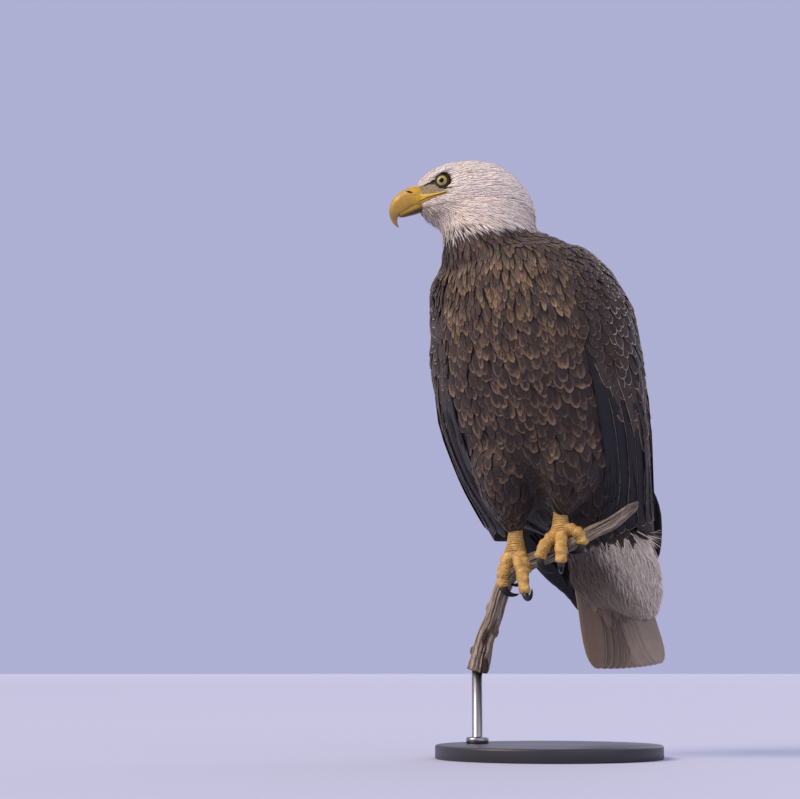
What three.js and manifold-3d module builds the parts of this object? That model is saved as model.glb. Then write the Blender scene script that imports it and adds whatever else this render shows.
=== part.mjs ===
// Bald eagle, life size, as a still display model. The bird stands upright and grips a short length of dead
// branch with both feet, its head turned over its right shoulder. One rod on a flat base carries the branch.
// Millimetres, +Z up. The bird faces -Y, so its left is +X. The floor is z = 0, under the middle of the base.
import * as THREE from "three";
import { mergeVertices } from "three/addons/utils/BufferGeometryUtils.js";
import Module from "manifold-3d";

const wasm = await Module();
wasm.setup();

// ---------------------------------------------------------------- driving dimensions
const GAP = 0.35; // clear space kept between two pieces that meet
const GRIP_HEIGHT = 264; // the grip, the middle of the branch between the two feet, above the floor

const BASE = { radius: 150, thick: 18, edge: 3, x: 0, y: 0, sides: 32 };
const ROD = { radius: 7, foot: 15, footThick: 8, intoBranch: 16, sides: 12 };

// The folded bird in level slices from shoulder to wing end, wings included; z is counted from the grip.
// x, y: the middle of the slice; wide, deep: half its width and half its depth.
const CLOAK = [
  { z: 424, x: -30, y: -34, wide: 74, deep: 58 },
  { z: 404, x: -26, y: -28, wide: 102, deep: 82 },
  { z: 383, x: -22, y: -21, wide: 119, deep: 95 },
  { z: 348, x: -18, y: -14, wide: 138, deep: 103 },
  { z: 295, x: -15, y: -4, wide: 147, deep: 106 },
  { z: 241, x: -14, y: 6, wide: 150, deep: 104 },
  { z: 201, x: -11, y: 16, wide: 148, deep: 100 },
  { z: 148, x: -7, y: 34, wide: 144, deep: 90 },
  { z: 95, x: -2, y: 58, wide: 132, deep: 76 },
  { z: 56, x: 4, y: 80, wide: 123, deep: 62 },
  { z: 22, x: 9, y: 98, wide: 118, deep: 50 },
];
// What the wing covers of each slice: angles from the breast (0) round to the back (180), and its thickness.
const WING = [
  { z: 414, lead: 66, trail: 124, thick: 12 },
  { z: 396, lead: 52, trail: 148, thick: 24 },
  { z: 350, lead: 44, trail: 166, thick: 27 },
  { z: 290, lead: 42, trail: 172, thick: 25 },
  { z: 218, lead: 45, trail: 173, thick: 22 },
  { z: 150, lead: 46, trail: 171, thick: 18 },
  { z: 90, lead: 46, trail: 167, thick: 16 },
  { z: 50, lead: 50, trail: 160, thick: 13 },
  { z: 26, lead: 62, trail: 134, thick: 9 },
];
// The trunk under the wings, in the same slices: breast and back are its front and rear surfaces.
const TRUNK = [
  { z: 430, x: -30, breast: -88, back: -10, wide: 52 },
  { z: 410, x: -25, breast: -114, back: 30, wide: 88 },
  { z: 378, x: -19, breast: -128, back: 62, wide: 112 },
  { z: 330, x: -17, breast: -127, back: 78, wide: 127 },
  { z: 270, x: -14, breast: -114, back: 86, wide: 132 },
  { z: 210, x: -12, breast: -92, back: 98, wide: 134 },
  { z: 155, x: -8, breast: -64, back: 110, wide: 131 },
  { z: 105, x: -1, breast: -32, back: 122, wide: 122 },
  { z: 65, x: 6, breast: 6, back: 130, wide: 108 },
  { z: 38, x: 14, breast: 46, back: 130, wide: 78 },
];
// The neck as round slices from the skull down into the trunk.
const NECK = [
  { x: -50, y: -62, z: 492, wide: 44, deep: 32 },
  { x: -54, y: -64, z: 464, wide: 60, deep: 45 },
  { x: -56, y: -65, z: 438, wide: 63, deep: 55 },
  { x: -54, y: -60, z: 414, wide: 67, deep: 64 },
  { x: -44, y: -46, z: 388, wide: 80, deep: 74 },
  { x: -30, y: -32, z: 352, wide: 76, deep: 70 },
];
// The head in its own frame: +X along the bill, +Z up, origin midway between the eyes.
// Its slices run from nape to forehead.
const HEAD = { x: -113, y: -88, z: 503, turn: -158 };
const SKULL = [
  { x: -124, mid: -44, wide: 10, tall: 12 },
  { x: -116, mid: -40, wide: 23, tall: 25 },
  { x: -102, mid: -30, wide: 31, tall: 34 },
  { x: -84, mid: -22, wide: 36, tall: 41 },
  { x: -62, mid: -16, wide: 38, tall: 45 },
  { x: -38, mid: -15, wide: 38, tall: 46 },
  { x: -16, mid: -17, wide: 34, tall: 46 },
  { x: 4, mid: -20, wide: 28, tall: 44 },
  { x: 19, mid: -22, wide: 21, tall: 38 },
  { x: 30, mid: -20, wide: 16, tall: 28 },
  { x: 38, mid: -17, wide: 13, tall: 20 },
];
const BROW = { x: 5, y: 19.5, z: 8.5, long: 19, wide: 6.5, tall: 4, slope: 24, inward: 14 };
const ORBIT = { x: 1, y: 34, z: -4, long: 14, wide: 11, tall: 9.5 };
const EYE = { x: 0, y: 15, z: -3.5, radius: 12 };
// Upper bill from cere to hook and lower bill from chin to tip: centre line, half width and half height.
const UPPER_BILL = [
  { x: 29, z: -17, wide: 13, tall: 12 },
  { x: 38, z: -18.5, wide: 13.3, tall: 13 },
  { x: 49, z: -23, wide: 12.3, tall: 13 },
  { x: 59.5, z: -31, wide: 10.3, tall: 11.8 },
  { x: 65.5, z: -42, wide: 7, tall: 8 },
  { x: 64.5, z: -53, wide: 3.8, tall: 4.4 },
  { x: 59.5, z: -62, wide: 1, tall: 1.1 },
];
const LOWER_BILL = [
  { x: 18, z: -30, wide: 11, tall: 6 },
  { x: 30, z: -34, wide: 11, tall: 6.6 },
  { x: 43, z: -39, wide: 9.5, tall: 5.8 },
  { x: 55, z: -44, wide: 6.6, tall: 3.8 },
  { x: 60, z: -46, wide: 3.8, tall: 2 },
];
// Where one piece of the head and neck ends and the next begins: a place on each cut and the way it faces.
// The first two are in the head's frame, the last in the bird's.
const CUTS = {
  cere: { at: [44, 0, -20], facing: [0.86, 0, -0.5] },
  jaw: { at: [-40, 0, -58], facing: [0.32, 0, 1] },
  collar: { at: [-56, -66, 412], facing: [-0.3, -0.1, 1] },
};

// The tail from rump to tip, and the loose white feathers under its root.
const TAIL = { base: [34, 98, 74], tip: [56, 212, -148], thick: 9, arch: 9, sink: 4 };
const TAIL_WIDTHS = [26, 36, 44, 50, 54, 57, 59, 61, 63, 63];
const VENT = [
  { x: 30, y: 62, z: 72, wide: 30, deep: 22 },
  { x: 42, y: 76, z: 48, wide: 50, deep: 30 },
  { x: 57, y: 94, z: 14, wide: 62, deep: 32 },
  { x: 72, y: 112, z: -18, wide: 60, deep: 28 },
  { x: 88, y: 130, z: -48, wide: 42, deep: 20 },
  { x: 100, y: 144, z: -80, wide: 20, deep: 8 },
];
// The tips of the long primaries, which lie on the back of the tail: centre line, half width, half thickness.
const PRIMARIES_RIGHT = [
  { x: -84, y: 112, z: 96, wide: 34, thick: 3.5 },
  { x: -62, y: 130, z: 44, wide: 38, thick: 3.5 },
  { x: -32, y: 148, z: -6, wide: 32, thick: 3.2 },
  { x: -10, y: 164, z: -46, wide: 20, thick: 2.8 },
  { x: 4, y: 182, z: -92, wide: 8, thick: 2 },
];
const PRIMARIES_LEFT = [
  { x: 92, y: 110, z: 96, wide: 32, thick: 3.5 },
  { x: 96, y: 128, z: 46, wide: 36, thick: 3.5 },
  { x: 95, y: 142, z: 14, wide: 34, thick: 3.2 },
  { x: 80, y: 160, z: -18, wide: 24, thick: 2.8 },
  { x: 68, y: 178, z: -56, wide: 8, thick: 2 },
];

// Legs: the feathered thigh narrows to the bare shank, which stands on the foot.
const LEGS = {
  right: {
    thigh: [
      { x: -40, y: 14, z: 176, wide: 32, deep: 36 },
      { x: -54, y: -8, z: 132, wide: 48, deep: 52 },
      { x: -51, y: -8, z: 86, wide: 38, deep: 42 },
      { x: -46, y: -1, z: 52, wide: 21, deep: 24 },
      { x: -45, y: 3, z: 34, wide: 11, deep: 12 },
    ],
    shank: { top: [-45, 3, 54], palm: [-43, -3, 9] },
    // Each toe leaves the palm along a heading in plan (0 to the bird's left, -90 ahead), pitched down from
    // its first angle to its last; its claw curls on by as many degrees as it is asked.
    toes: {
      hind: { heading: 160, pitch: [-14, -84], long: 32, radius: 8.5, claw: 34, curl: 96 },
      inner: { heading: -22, pitch: [-32, -92], long: 36, radius: 9.4, claw: 30, curl: 110 },
      outer: { heading: -154, pitch: [-42, -100], long: 54, radius: 8.6, claw: 25, curl: 110 },
      middle: { heading: -46, pitch: [-52, -76], long: 66, radius: 8, claw: 30, curl: -176 },
    },
  },
  left: {
    thigh: [
      { x: 34, y: 14, z: 184, wide: 32, deep: 36 },
      { x: 42, y: -8, z: 146, wide: 48, deep: 52 },
      { x: 34, y: -8, z: 106, wide: 40, deep: 44 },
      { x: 23, y: -1, z: 74, wide: 22, deep: 26 },
      { x: 18, y: 3, z: 54, wide: 11, deep: 12 },
    ],
    shank: { top: [18, 3, 74], palm: [21, -3, 33] },
    toes: {
      hind: { heading: 112, pitch: [-14, -104], long: 40, radius: 8.5, claw: 34, curl: 96 },
      inner: { heading: -140, pitch: [-20, -80], long: 50, radius: 8.6, claw: 30, curl: 120 },
      outer: { heading: -4, pitch: [34, -96], long: 44, radius: 8.2, claw: 25, curl: 120 },
      middle: { heading: -74, pitch: [-28, -100], long: 50, radius: 8.2, claw: 30, curl: 116 },
    },
  },
};
const SHANK = { top: 9.5, ankle: 9.5, palm: [15.5, 12] };
// Taper, pads and the claw's root are shares of the toe's own radius.
const TOE = { taper: 0.92, pads: 0.06, padTurns: 4 * Math.PI };
const CLAW = { root: 0.72, tip: 0.6, taper: 0.7 };

// The branch: its centre line and radius from the cut foot up to the broken tip.
const BRANCH = [
  { x: -102, y: 6, z: -151, radius: 15 },
  { x: -96, y: 6, z: -129, radius: 13.4 },
  { x: -89, y: 5, z: -105, radius: 12.2 },
  { x: -76, y: 3, z: -73, radius: 11.3 },
  { x: -64, y: 1, z: -42, radius: 11 },
  { x: -49, y: 0, z: -18, radius: 11 },
  { x: -24, y: 0, z: -6, radius: 10.8 },
  { x: 4, y: 0, z: 3, radius: 10.2 },
  { x: 35, y: 1, z: 17, radius: 9.6 },
  { x: 62, y: 2, z: 32, radius: 9 },
  { x: 92, y: 4, z: 46, radius: 8.6 },
  { x: 120, y: 7, z: 66, radius: 5.5 },
];

// Low waves round the branch, as shares of its radius.
const KNOTS = { lobes: 3, twist: 9, deep: 0.05, swells: 31, swellDeep: 0.04 };
// How blunt the two ends of each form are, for opened() below.
const BLUNT = { skull: 9, neck: 6, trunk: 10, wing: 12, tail: 16, bill: 14, branch: 60 };
const TRUNK_DOME = 12; // how far the trunk's ends are drawn in

// ---------------------------------------------------------------- solids
const vector = (x, y, z) => new THREE.Vector3(x, y, z);
const radians = THREE.MathUtils.degToRad;
const lerp = THREE.MathUtils.lerp;

// A row of sizes at t along a table, on a smooth curve through its rows.
function between(rows, t) {
  const place = t * (rows.length - 1);
  const start = Math.min(Math.floor(place), rows.length - 2);
  const f = place - start;
  const row = (i) => rows[THREE.MathUtils.clamp(i, 0, rows.length - 1)];
  const [before, from, to, after] = [row(start - 1), row(start), row(start + 1), row(start + 2)];
  const made = {};
  for (const key of Object.keys(from)) {
    const [a, b, c, d] = [before[key], from[key], to[key], after[key]];
    made[key] =
      b + 0.5 * f * (c - a + f * (2 * a - 5 * b + 4 * c - d + f * (3 * (b - c) + d - a)));
  }
  return made;
}

// A closed skin: ring(t, turn) gives the point t along it and turn round it.
// It closes to a point at t = 0 and at t = 1.
function skin(ring, around, along) {
  const shape = new THREE.SphereGeometry(1, around, along);
  const places = shape.getAttribute("position");
  for (let row = 0; row <= along; row++) {
    const t = (1 - Math.cos((Math.PI * row) / along)) / 2;
    for (let column = 0; column <= around; column++) {
      const turn = (2 * Math.PI * (column % around)) / around;
      const point = ring(t, turn);
      places.setXYZ(row * (around + 1) + column, point.x, point.y, point.z);
    }
  }
  return shape;
}

// How far a skin has opened t along it: 0 at both ends, then 1; blunt is high for a blunt end.
const opened = (t, blunt) => Math.sqrt(Math.max(0, 1 - Math.abs(2 * t - 1) ** blunt));

function solidOf(shape, matrix = new THREE.Matrix4()) {
  const bare = new THREE.BufferGeometry();
  bare.setAttribute("position", shape.getAttribute("position").clone());
  bare.setIndex(shape.index);
  bare.applyMatrix4(matrix);
  const merged = mergeVertices(bare, 1e-4);
  return closed(merged.attributes.position.array, new Uint32Array(merged.index.array));
}

function closed(vertProperties, triVerts) {
  const make = () => new wasm.Manifold(new wasm.Mesh({ numProp: 3, vertProperties, triVerts }));
  const made = make();
  if (made.volume() > 0) return made;
  for (let i = 0; i < triVerts.length; i += 3)
    [triVerts[i + 1], triVerts[i + 2]] = [triVerts[i + 2], triVerts[i + 1]];
  return make();
}

// The same solid with its surface moved out by a distance, so that what it cuts stays clear of it.
function grown(solid, by = GAP) {
  const mesh = solid.getMesh();
  const shape = new THREE.BufferGeometry();
  shape.setAttribute("position", new THREE.BufferAttribute(new Float32Array(mesh.vertProperties), 3));
  shape.setIndex(new THREE.BufferAttribute(mesh.triVerts, 1));
  shape.computeVertexNormals();
  const places = shape.attributes.position;
  const normals = shape.attributes.normal;
  for (let i = 0; i < places.count; i++)
    places.setXYZ(
      i,
      places.getX(i) + by * normals.getX(i),
      places.getY(i) + by * normals.getY(i),
      places.getZ(i) + by * normals.getZ(i),
    );
  return closed(places.array, new Uint32Array(mesh.triVerts));
}

// What is left of a solid when its neighbours, and the gap round them, are taken away: the largest piece.
// The neighbours are given whole, as they were before anything was cut from them.
function clearOf(solid, ...neighbours) {
  const left = neighbours.reduce((made, other) => made.subtract(grown(other)), solid);
  return left.decompose().sort((a, b) => b.volume() - a.volume())[0];
}

function geometryOf(solid) {
  const mesh = solid.getMesh();
  const shape = new THREE.BufferGeometry();
  shape.setAttribute("position", new THREE.BufferAttribute(new Float32Array(mesh.vertProperties), 3));
  shape.setIndex(new THREE.BufferAttribute(mesh.triVerts, 1));
  shape.computeVertexNormals();
  return shape;
}

function ellipsoid(wide, deep, tall, around, matrix) {
  return solidOf(new THREE.SphereGeometry(1, around, around / 2).scale(wide, deep, tall), matrix);
}

// Everything on one side of a plane, as a box: the plane passes through at, and the box lies along normal.
function halfSpace(at, normal) {
  const size = 900;
  const box = new THREE.BoxGeometry(size, size, size).translate(0, 0, size / 2);
  const turn = new THREE.Quaternion().setFromUnitVectors(vector(0, 0, 1), normal.clone().normalize());
  return solidOf(box, new THREE.Matrix4().compose(at, turn, vector(1, 1, 1)));
}

// A skin round level slices, each an ellipse with its own front and back depth.
function trunkSolid() {
  const ring = (t, turn) => {
    const s = between(TRUNK, t);
    const open = opened(t, BLUNT.trunk);
    const middle = (s.breast + s.back) / 2;
    const deep = (s.back - s.breast) / 2;
    return vector(
      s.x + open * s.wide * Math.sin(turn),
      middle - open * deep * Math.cos(turn),
      s.z + TRUNK_DOME * (1 - open) * Math.sign(0.5 - t),
    );
  };
  return solidOf(skin(ring, 22, 12));
}

// A skin round a row of slices that lie square to the line through their middles.
function limbSolid(rows, { around, along, blunt = 8, side = vector(1, 0, 0) }) {
  const middle = (t) => {
    const s = between(rows, THREE.MathUtils.clamp(t, 0, 1));
    return vector(s.x, s.y, s.z);
  };
  const ring = (t, turn) => {
    const s = between(rows, t);
    const ahead = middle(t + 0.01).sub(middle(t - 0.01)).normalize();
    const out = side.clone().addScaledVector(ahead, -side.dot(ahead)).normalize();
    const up = ahead.clone().cross(out);
    const open = opened(t, blunt);
    return vector(s.x, s.y, s.z)
      .addScaledVector(out, open * s.wide * Math.cos(turn))
      .addScaledVector(up, open * (s.deep ?? s.thick ?? s.tall) * Math.sin(turn));
  };
  return solidOf(skin(ring, around, along));
}

// ---------------------------------------------------------------- head, neck and trunk
const headPlace = new THREE.Matrix4()
  .makeTranslation(HEAD.x, HEAD.y, HEAD.z)
  .multiply(new THREE.Matrix4().makeRotationZ(radians(HEAD.turn)));

// A place in the head's frame as a matrix in the bird's frame, turned in plan and then sloped forward.
function onHead(x, y, z, turn = 0, slope = 0) {
  return headPlace
    .clone()
    .multiply(new THREE.Matrix4().makeTranslation(x, y, z))
    .multiply(new THREE.Matrix4().makeRotationZ(radians(turn)))
    .multiply(new THREE.Matrix4().makeRotationY(radians(slope)));
}

function skullSolid() {
  const ring = (t, turn) => {
    const s = between(SKULL, t);
    const open = opened(t, BLUNT.skull);
    return vector(s.x, open * s.wide * Math.cos(turn), s.mid + open * s.tall * Math.sin(turn));
  };
  let made = solidOf(skin(ring, 18, 12), headPlace);
  for (const side of [1, -1]) {
    const brow = onHead(BROW.x, side * BROW.y, BROW.z, -side * BROW.inward, BROW.slope);
    made = made.add(ellipsoid(BROW.long, BROW.wide, BROW.tall, 8, brow));
    const orbit = onHead(ORBIT.x, side * ORBIT.y, ORBIT.z);
    made = made.subtract(ellipsoid(ORBIT.long, ORBIT.wide, ORBIT.tall, 10, orbit));
  }
  return made;
}

function eyeSolid(side) {
  return ellipsoid(EYE.radius, EYE.radius, EYE.radius, 12, onHead(EYE.x, side * EYE.y, EYE.z));
}

function billSolid(rows, around, along) {
  const ring = (t, turn) => {
    const s = between(rows, t);
    const [near, far] = [between(rows, Math.max(0, t - 0.01)), between(rows, Math.min(1, t + 0.01))];
    const slope = Math.atan2(far.z - near.z, far.x - near.x);
    const open = opened(t, BLUNT.bill);
    const lift = open * s.tall * Math.sin(turn);
    return vector(
      s.x - lift * Math.sin(slope),
      open * s.wide * Math.cos(turn),
      s.z + lift * Math.cos(slope),
    );
  };
  return solidOf(skin(ring, around, along), headPlace);
}

const alongHead = vector(1, 0, 0).transformDirection(headPlace).negate();

// Whole shapes, which may run into each other; the pieces are cut from these further down.
const forms = {
  upperBill: billSolid(UPPER_BILL, 14, 12),
  lowerBill: billSolid(LOWER_BILL, 12, 7),
  eyeLeft: eyeSolid(1),
  eyeRight: eyeSolid(-1),
  skull: skullSolid(),
  neck: limbSolid(NECK, { around: 18, along: 9, blunt: BLUNT.neck, side: alongHead }),
  trunk: trunkSolid(),
};

function frontPieces() {
  const { upperBill, lowerBill, eyeLeft, eyeRight, skull, neck: neckForm, trunk: trunkForm } = forms;
  const whole = skull.add(neckForm).add(trunkForm);

  // The head parts from the neck behind the jaw, and the neck from the trunk above the shoulders.
  const away = (cut, frame) => vector(...cut.facing).normalize().transformDirection(frame);
  const beyond = (cut, frame) => {
    const facing = away(cut, frame);
    return halfSpace(vector(...cut.at).applyMatrix4(frame).addScaledVector(facing, GAP / 2), facing);
  };
  const before = (cut, frame) => {
    const facing = away(cut, frame).negate();
    return halfSpace(vector(...cut.at).applyMatrix4(frame).addScaledVector(facing, GAP / 2), facing);
  };
  const { cere, jaw, collar } = CUTS;
  const birdPlace = new THREE.Matrix4();

  const skinned = clearOf(whole, upperBill, lowerBill, eyeLeft, eyeRight);
  const head = clearOf(skinned.intersect(beyond(jaw, headPlace)));
  const neck = clearOf(skinned.intersect(before(jaw, headPlace)).intersect(beyond(collar, birdPlace)));
  const trunk = clearOf(skinned.intersect(before(collar, birdPlace)));
  return {
    head,
    neck,
    trunk,
    bill: clearOf(upperBill.intersect(beyond(cere, headPlace))),
    cere: clearOf(upperBill.intersect(before(cere, headPlace))),
    jaw: clearOf(lowerBill, upperBill),
    eye_left: eyeLeft,
    eye_right: eyeRight,
  };
}

// ---------------------------------------------------------------- wings and tail
// A folded wing lies on the trunk as a shell: each slice is an arc of the cloak, thick in its middle.
function wingSolid(side) {
  const topOf = CLOAK[0].z;
  const lowOf = CLOAK[CLOAK.length - 1].z;
  const cloakAt = (z) => {
    let [low, high] = [0, 1];
    for (let step = 0; step < 24; step++) {
      const middle = (low + high) / 2;
      if (between(CLOAK, middle).z > z) low = middle;
      else high = middle;
    }
    return between(CLOAK, low);
  };
  const ring = (t, turn) => {
    const s = between(WING, t);
    const body = cloakAt(THREE.MathUtils.clamp(s.z, lowOf, topOf));
    const open = opened(t, BLUNT.wing);
    const across = (1 - Math.cos(turn)) / 2;
    const middle = (s.lead + s.trail) / 2;
    const angle = radians(middle + open * (lerp(s.lead, s.trail, across) - middle));
    const inset = (s.thick / 2) * (1 - open * Math.sign(Math.sin(turn)) * Math.abs(Math.sin(turn)) ** 0.8);
    return vector(
      body.x + side * (body.wide - inset) * Math.sin(angle),
      body.y - (body.deep - inset) * Math.cos(angle),
      s.z,
    );
  };
  return solidOf(skin(ring, 22, 11));
}

function tailSolid() {
  const base = vector(...TAIL.base);
  const tip = vector(...TAIL.tip);
  const ahead = tip.clone().sub(base).normalize();
  const out = vector(1, 0, 0).addScaledVector(ahead, -ahead.x).normalize();
  const up = ahead.clone().cross(out);
  const widths = TAIL_WIDTHS.map((wide) => ({ wide }));
  const ring = (t, turn) => {
    const open = opened(t, BLUNT.tail);
    const across = Math.cos(turn);
    const arch = TAIL.arch * (1 - across * across) - TAIL.sink; // the middle feathers lie highest
    return base
      .clone()
      .lerp(tip, t)
      .addScaledVector(out, open * between(widths, t).wide * across)
      .addScaledVector(up, -open * (arch + (TAIL.thick / 2) * Math.sin(turn)));
  };
  return solidOf(skin(ring, 18, 9));
}

// ---------------------------------------------------------------- branch and feet
const branchLine = new THREE.CatmullRomCurve3(BRANCH.map((row) => vector(row.x, row.y, row.z)));

function branchSolid() {
  const ring = (t, turn) => {
    const row = between(BRANCH, t);
    const ahead = branchLine.getTangent(t);
    const front = vector(0, -1, 0).addScaledVector(ahead, ahead.y).normalize();
    const top = ahead.clone().cross(front);
    const open = opened(t, BLUNT.branch);
    const { lobes, twist, deep, swells, swellDeep } = KNOTS;
    const knots = 1 + deep * Math.sin(lobes * turn + twist * t) + swellDeep * Math.sin(swells * t + turn);
    return vector(row.x, row.y, row.z)
      .addScaledVector(top, open * row.radius * knots * Math.cos(turn))
      .addScaledVector(front, open * row.radius * knots * Math.sin(turn));
  };
  return solidOf(skin(ring, 10, 18));
}

// A row of round slices that starts at a place and bends in its own upright plane.
function bent(start, heading, pitchFrom, pitchTo, long, radiusAt) {
  const steps = 6;
  const rows = [];
  const at = start.clone();
  for (let i = 0; i <= steps; i++) {
    const radius = radiusAt(i / steps);
    rows.push({ x: at.x, y: at.y, z: at.z, wide: radius, deep: radius });
    const pitch = radians(lerp(pitchFrom, pitchTo, (i + 0.5) / steps));
    const [c, s] = [Math.cos(radians(heading)), Math.sin(radians(heading))];
    at.add(vector(c * Math.cos(pitch), s * Math.cos(pitch), Math.sin(pitch)).multiplyScalar(long / steps));
  }
  return rows;
}

// The whole shapes of a foot: the shank down to its palm, then each toe and its claw.
function footForms(side) {
  const { shank, toes } = LEGS[side];
  const [top, palm] = [vector(...shank.top), vector(...shank.palm)];
  const [palmWide, palmDeep] = SHANK.palm;
  const shankRows = [
    { at: top.clone().lerp(palm, -0.2), wide: SHANK.top, deep: SHANK.top },
    { at: top, wide: SHANK.top, deep: SHANK.top },
    { at: top.clone().lerp(palm, 0.5), wide: SHANK.ankle, deep: SHANK.ankle },
    { at: palm, wide: palmWide, deep: palmDeep },
    { at: top.clone().lerp(palm, 1.25), wide: SHANK.ankle, deep: SHANK.ankle },
  ].map(({ at, wide, deep }) => ({ x: at.x, y: at.y, z: at.z, wide, deep }));
  const made = { [`shank_${side}`]: limbSolid(shankRows, { around: 12, along: 7, blunt: 8 }) };
  for (const [name, toe] of Object.entries(toes)) {
    const [first, last] = toe.pitch;
    const { heading } = toe;
    const across = vector(-Math.sin(radians(heading)), Math.cos(radians(heading)), 0);
    const padded = (t) =>
      toe.radius * lerp(1, TOE.taper, t) * (1 + TOE.pads * Math.cos(t * TOE.padTurns));
    const toeRows = bent(palm, heading, first, last, toe.long, padded);
    const end = toeRows[toeRows.length - 1];
    const root = toe.radius * TOE.taper * CLAW.root;
    const clawRadius = (t) => root * Math.max(0, 1 - t) ** CLAW.taper + CLAW.tip;
    const curl = last - toe.curl;
    const start = vector(end.x, end.y, end.z);
    const clawRows = bent(start, heading, last, curl, toe.claw, clawRadius);
    made[`toe_${side}_${name}`] = limbSolid(toeRows, { around: 8, along: 7, blunt: 10, side: across });
    made[`claw_${side}_${name}`] = limbSolid(clawRows, { around: 6, along: 6, blunt: 14, side: across });
  }
  return made;
}

// ---------------------------------------------------------------- the bird and its branch
const branch = branchSolid();
const limbSides = { around: 16, along: 8, blunt: 8 };
Object.assign(forms, {
  thighRight: limbSolid(LEGS.right.thigh, limbSides),
  thighLeft: limbSolid(LEGS.left.thigh, limbSides),
  vent: limbSolid(VENT, { around: 16, along: 8, blunt: 7 }),
  tail: tailSolid(),
  wingLeft: wingSolid(1),
  wingRight: wingSolid(-1),
  bladeLeft: limbSolid(PRIMARIES_LEFT, { around: 12, along: 8, blunt: 12 }),
  bladeRight: limbSolid(PRIMARIES_RIGHT, { around: 12, along: 8, blunt: 12 }),
});

const { thighRight, thighLeft, wingLeft, wingRight } = forms;
const { skull: skullForm, neck: neckForm, trunk: trunkForm, vent: ventForm, tail: tailForm } = forms;
const body = [trunkForm, thighLeft, thighRight, ventForm];
const solids = {
  ...frontPieces(),
  thigh_right: clearOf(thighRight, trunkForm),
  thigh_left: clearOf(thighLeft, trunkForm, thighRight),
  vent: clearOf(ventForm, trunkForm, thighLeft, thighRight),
  tail: clearOf(tailForm, ...body),
  wing_left: clearOf(wingLeft, ...body, neckForm, tailForm),
  wing_right: clearOf(wingRight, ...body, neckForm, tailForm, wingLeft),
  primaries_left: clearOf(forms.bladeLeft, ...body, tailForm, wingLeft, wingRight),
  primaries_right: clearOf(forms.bladeRight, ...body, tailForm, wingLeft, wingRight, forms.bladeLeft),
  branch,
};
const gripping = [];
for (const side of ["right", "left"])
  for (const [name, form] of Object.entries(footForms(side))) {
    solids[name] = clearOf(form, branch, ...body, ...gripping);
    gripping.push(form);
  }

// ---------------------------------------------------------------- finishes
const finish = (color, roughness = 0.8, metalness = 0) =>
  new THREE.MeshStandardMaterial({ color, roughness, metalness });
const FINISHES = {
  white_feather: finish(0xe6ded6),
  brown_feather: finish(0x4a3b30),
  dark_feather: finish(0x2c2724),
  tail_feather: finish(0xcfc6bb),
  horn_yellow: finish(0xd9a63a, 0.4),
  foot_yellow: finish(0xd0a24a, 0.55),
  claw_black: finish(0x17171a, 0.3),
  eye_pale: finish(0xcfc583, 0.1),
  dead_wood: finish(0x7d6f63, 0.9),
  base_black: finish(0x1f1f21, 0.5),
  rod_steel: finish(0x8c8c90, 0.35, 1),
};
const finishOf = (name) => {
  if (/^(head|neck|vent)/.test(name)) return FINISHES.white_feather;
  if (/^(trunk|thigh|wing)/.test(name)) return FINISHES.brown_feather;
  if (/^primaries/.test(name)) return FINISHES.dark_feather;
  if (name === "tail") return FINISHES.tail_feather;
  if (/^(bill|cere|jaw)/.test(name)) return FINISHES.horn_yellow;
  if (/^(shank|toe)/.test(name)) return FINISHES.foot_yellow;
  if (/^claw/.test(name)) return FINISHES.claw_black;
  if (/^eye/.test(name)) return FINISHES.eye_pale;
  return FINISHES.dead_wood;
};

const bird = new THREE.Group();
bird.position.set(0, 0, GRIP_HEIGHT);
for (const [name, solid] of Object.entries(solids)) {
  const mesh = new THREE.Mesh(geometryOf(solid), finishOf(name));
  mesh.name = name;
  bird.add(mesh);
}

// ---------------------------------------------------------------- stand
function standPieces() {
  const foot = BRANCH[0];
  const { radius, thick, edge } = BASE;
  const profile = [
    [0, 0],
    [radius, 0],
    [radius, thick - edge],
    [radius - edge, thick],
    [0, thick],
  ].map(([r, z]) => new THREE.Vector2(r, z));
  const upright = new THREE.Matrix4().makeRotationX(Math.PI / 2);
  const base = solidOf(
    new THREE.LatheGeometry(profile, BASE.sides),
    new THREE.Matrix4().makeTranslation(BASE.x, BASE.y, 0).multiply(upright),
  );
  const bottom = thick + GAP;
  const top = GRIP_HEIGHT + foot.z + ROD.intoBranch;
  const rodProfile = [
    [0, bottom],
    [ROD.foot, bottom],
    [ROD.foot, bottom + ROD.footThick],
    [ROD.radius, bottom + ROD.footThick],
    [ROD.radius, top],
    [0, top],
  ].map(([r, z]) => new THREE.Vector2(r, z));
  const rod = solidOf(
    new THREE.LatheGeometry(rodProfile, ROD.sides),
    new THREE.Matrix4().makeTranslation(foot.x, foot.y, 0).multiply(upright),
  );
  const branchHere = branch.translate([0, 0, GRIP_HEIGHT]);
  return { stand_base: base, stand_rod: clearOf(rod, branchHere) };
}

const stand = new THREE.Group();
for (const [name, solid] of Object.entries(standPieces())) {
  const look = name === "stand_rod" ? FINISHES.rod_steel : FINISHES.base_black;
  const mesh = new THREE.Mesh(geometryOf(solid), look);
  mesh.name = name;
  stand.add(mesh);
}

const eagle = new THREE.Group();
eagle.add(bird, stand);
export default eagle;
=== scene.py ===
import math

import bpy
import numpy as np
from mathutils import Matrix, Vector
from mathutils.bvhtree import BVHTree


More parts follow.
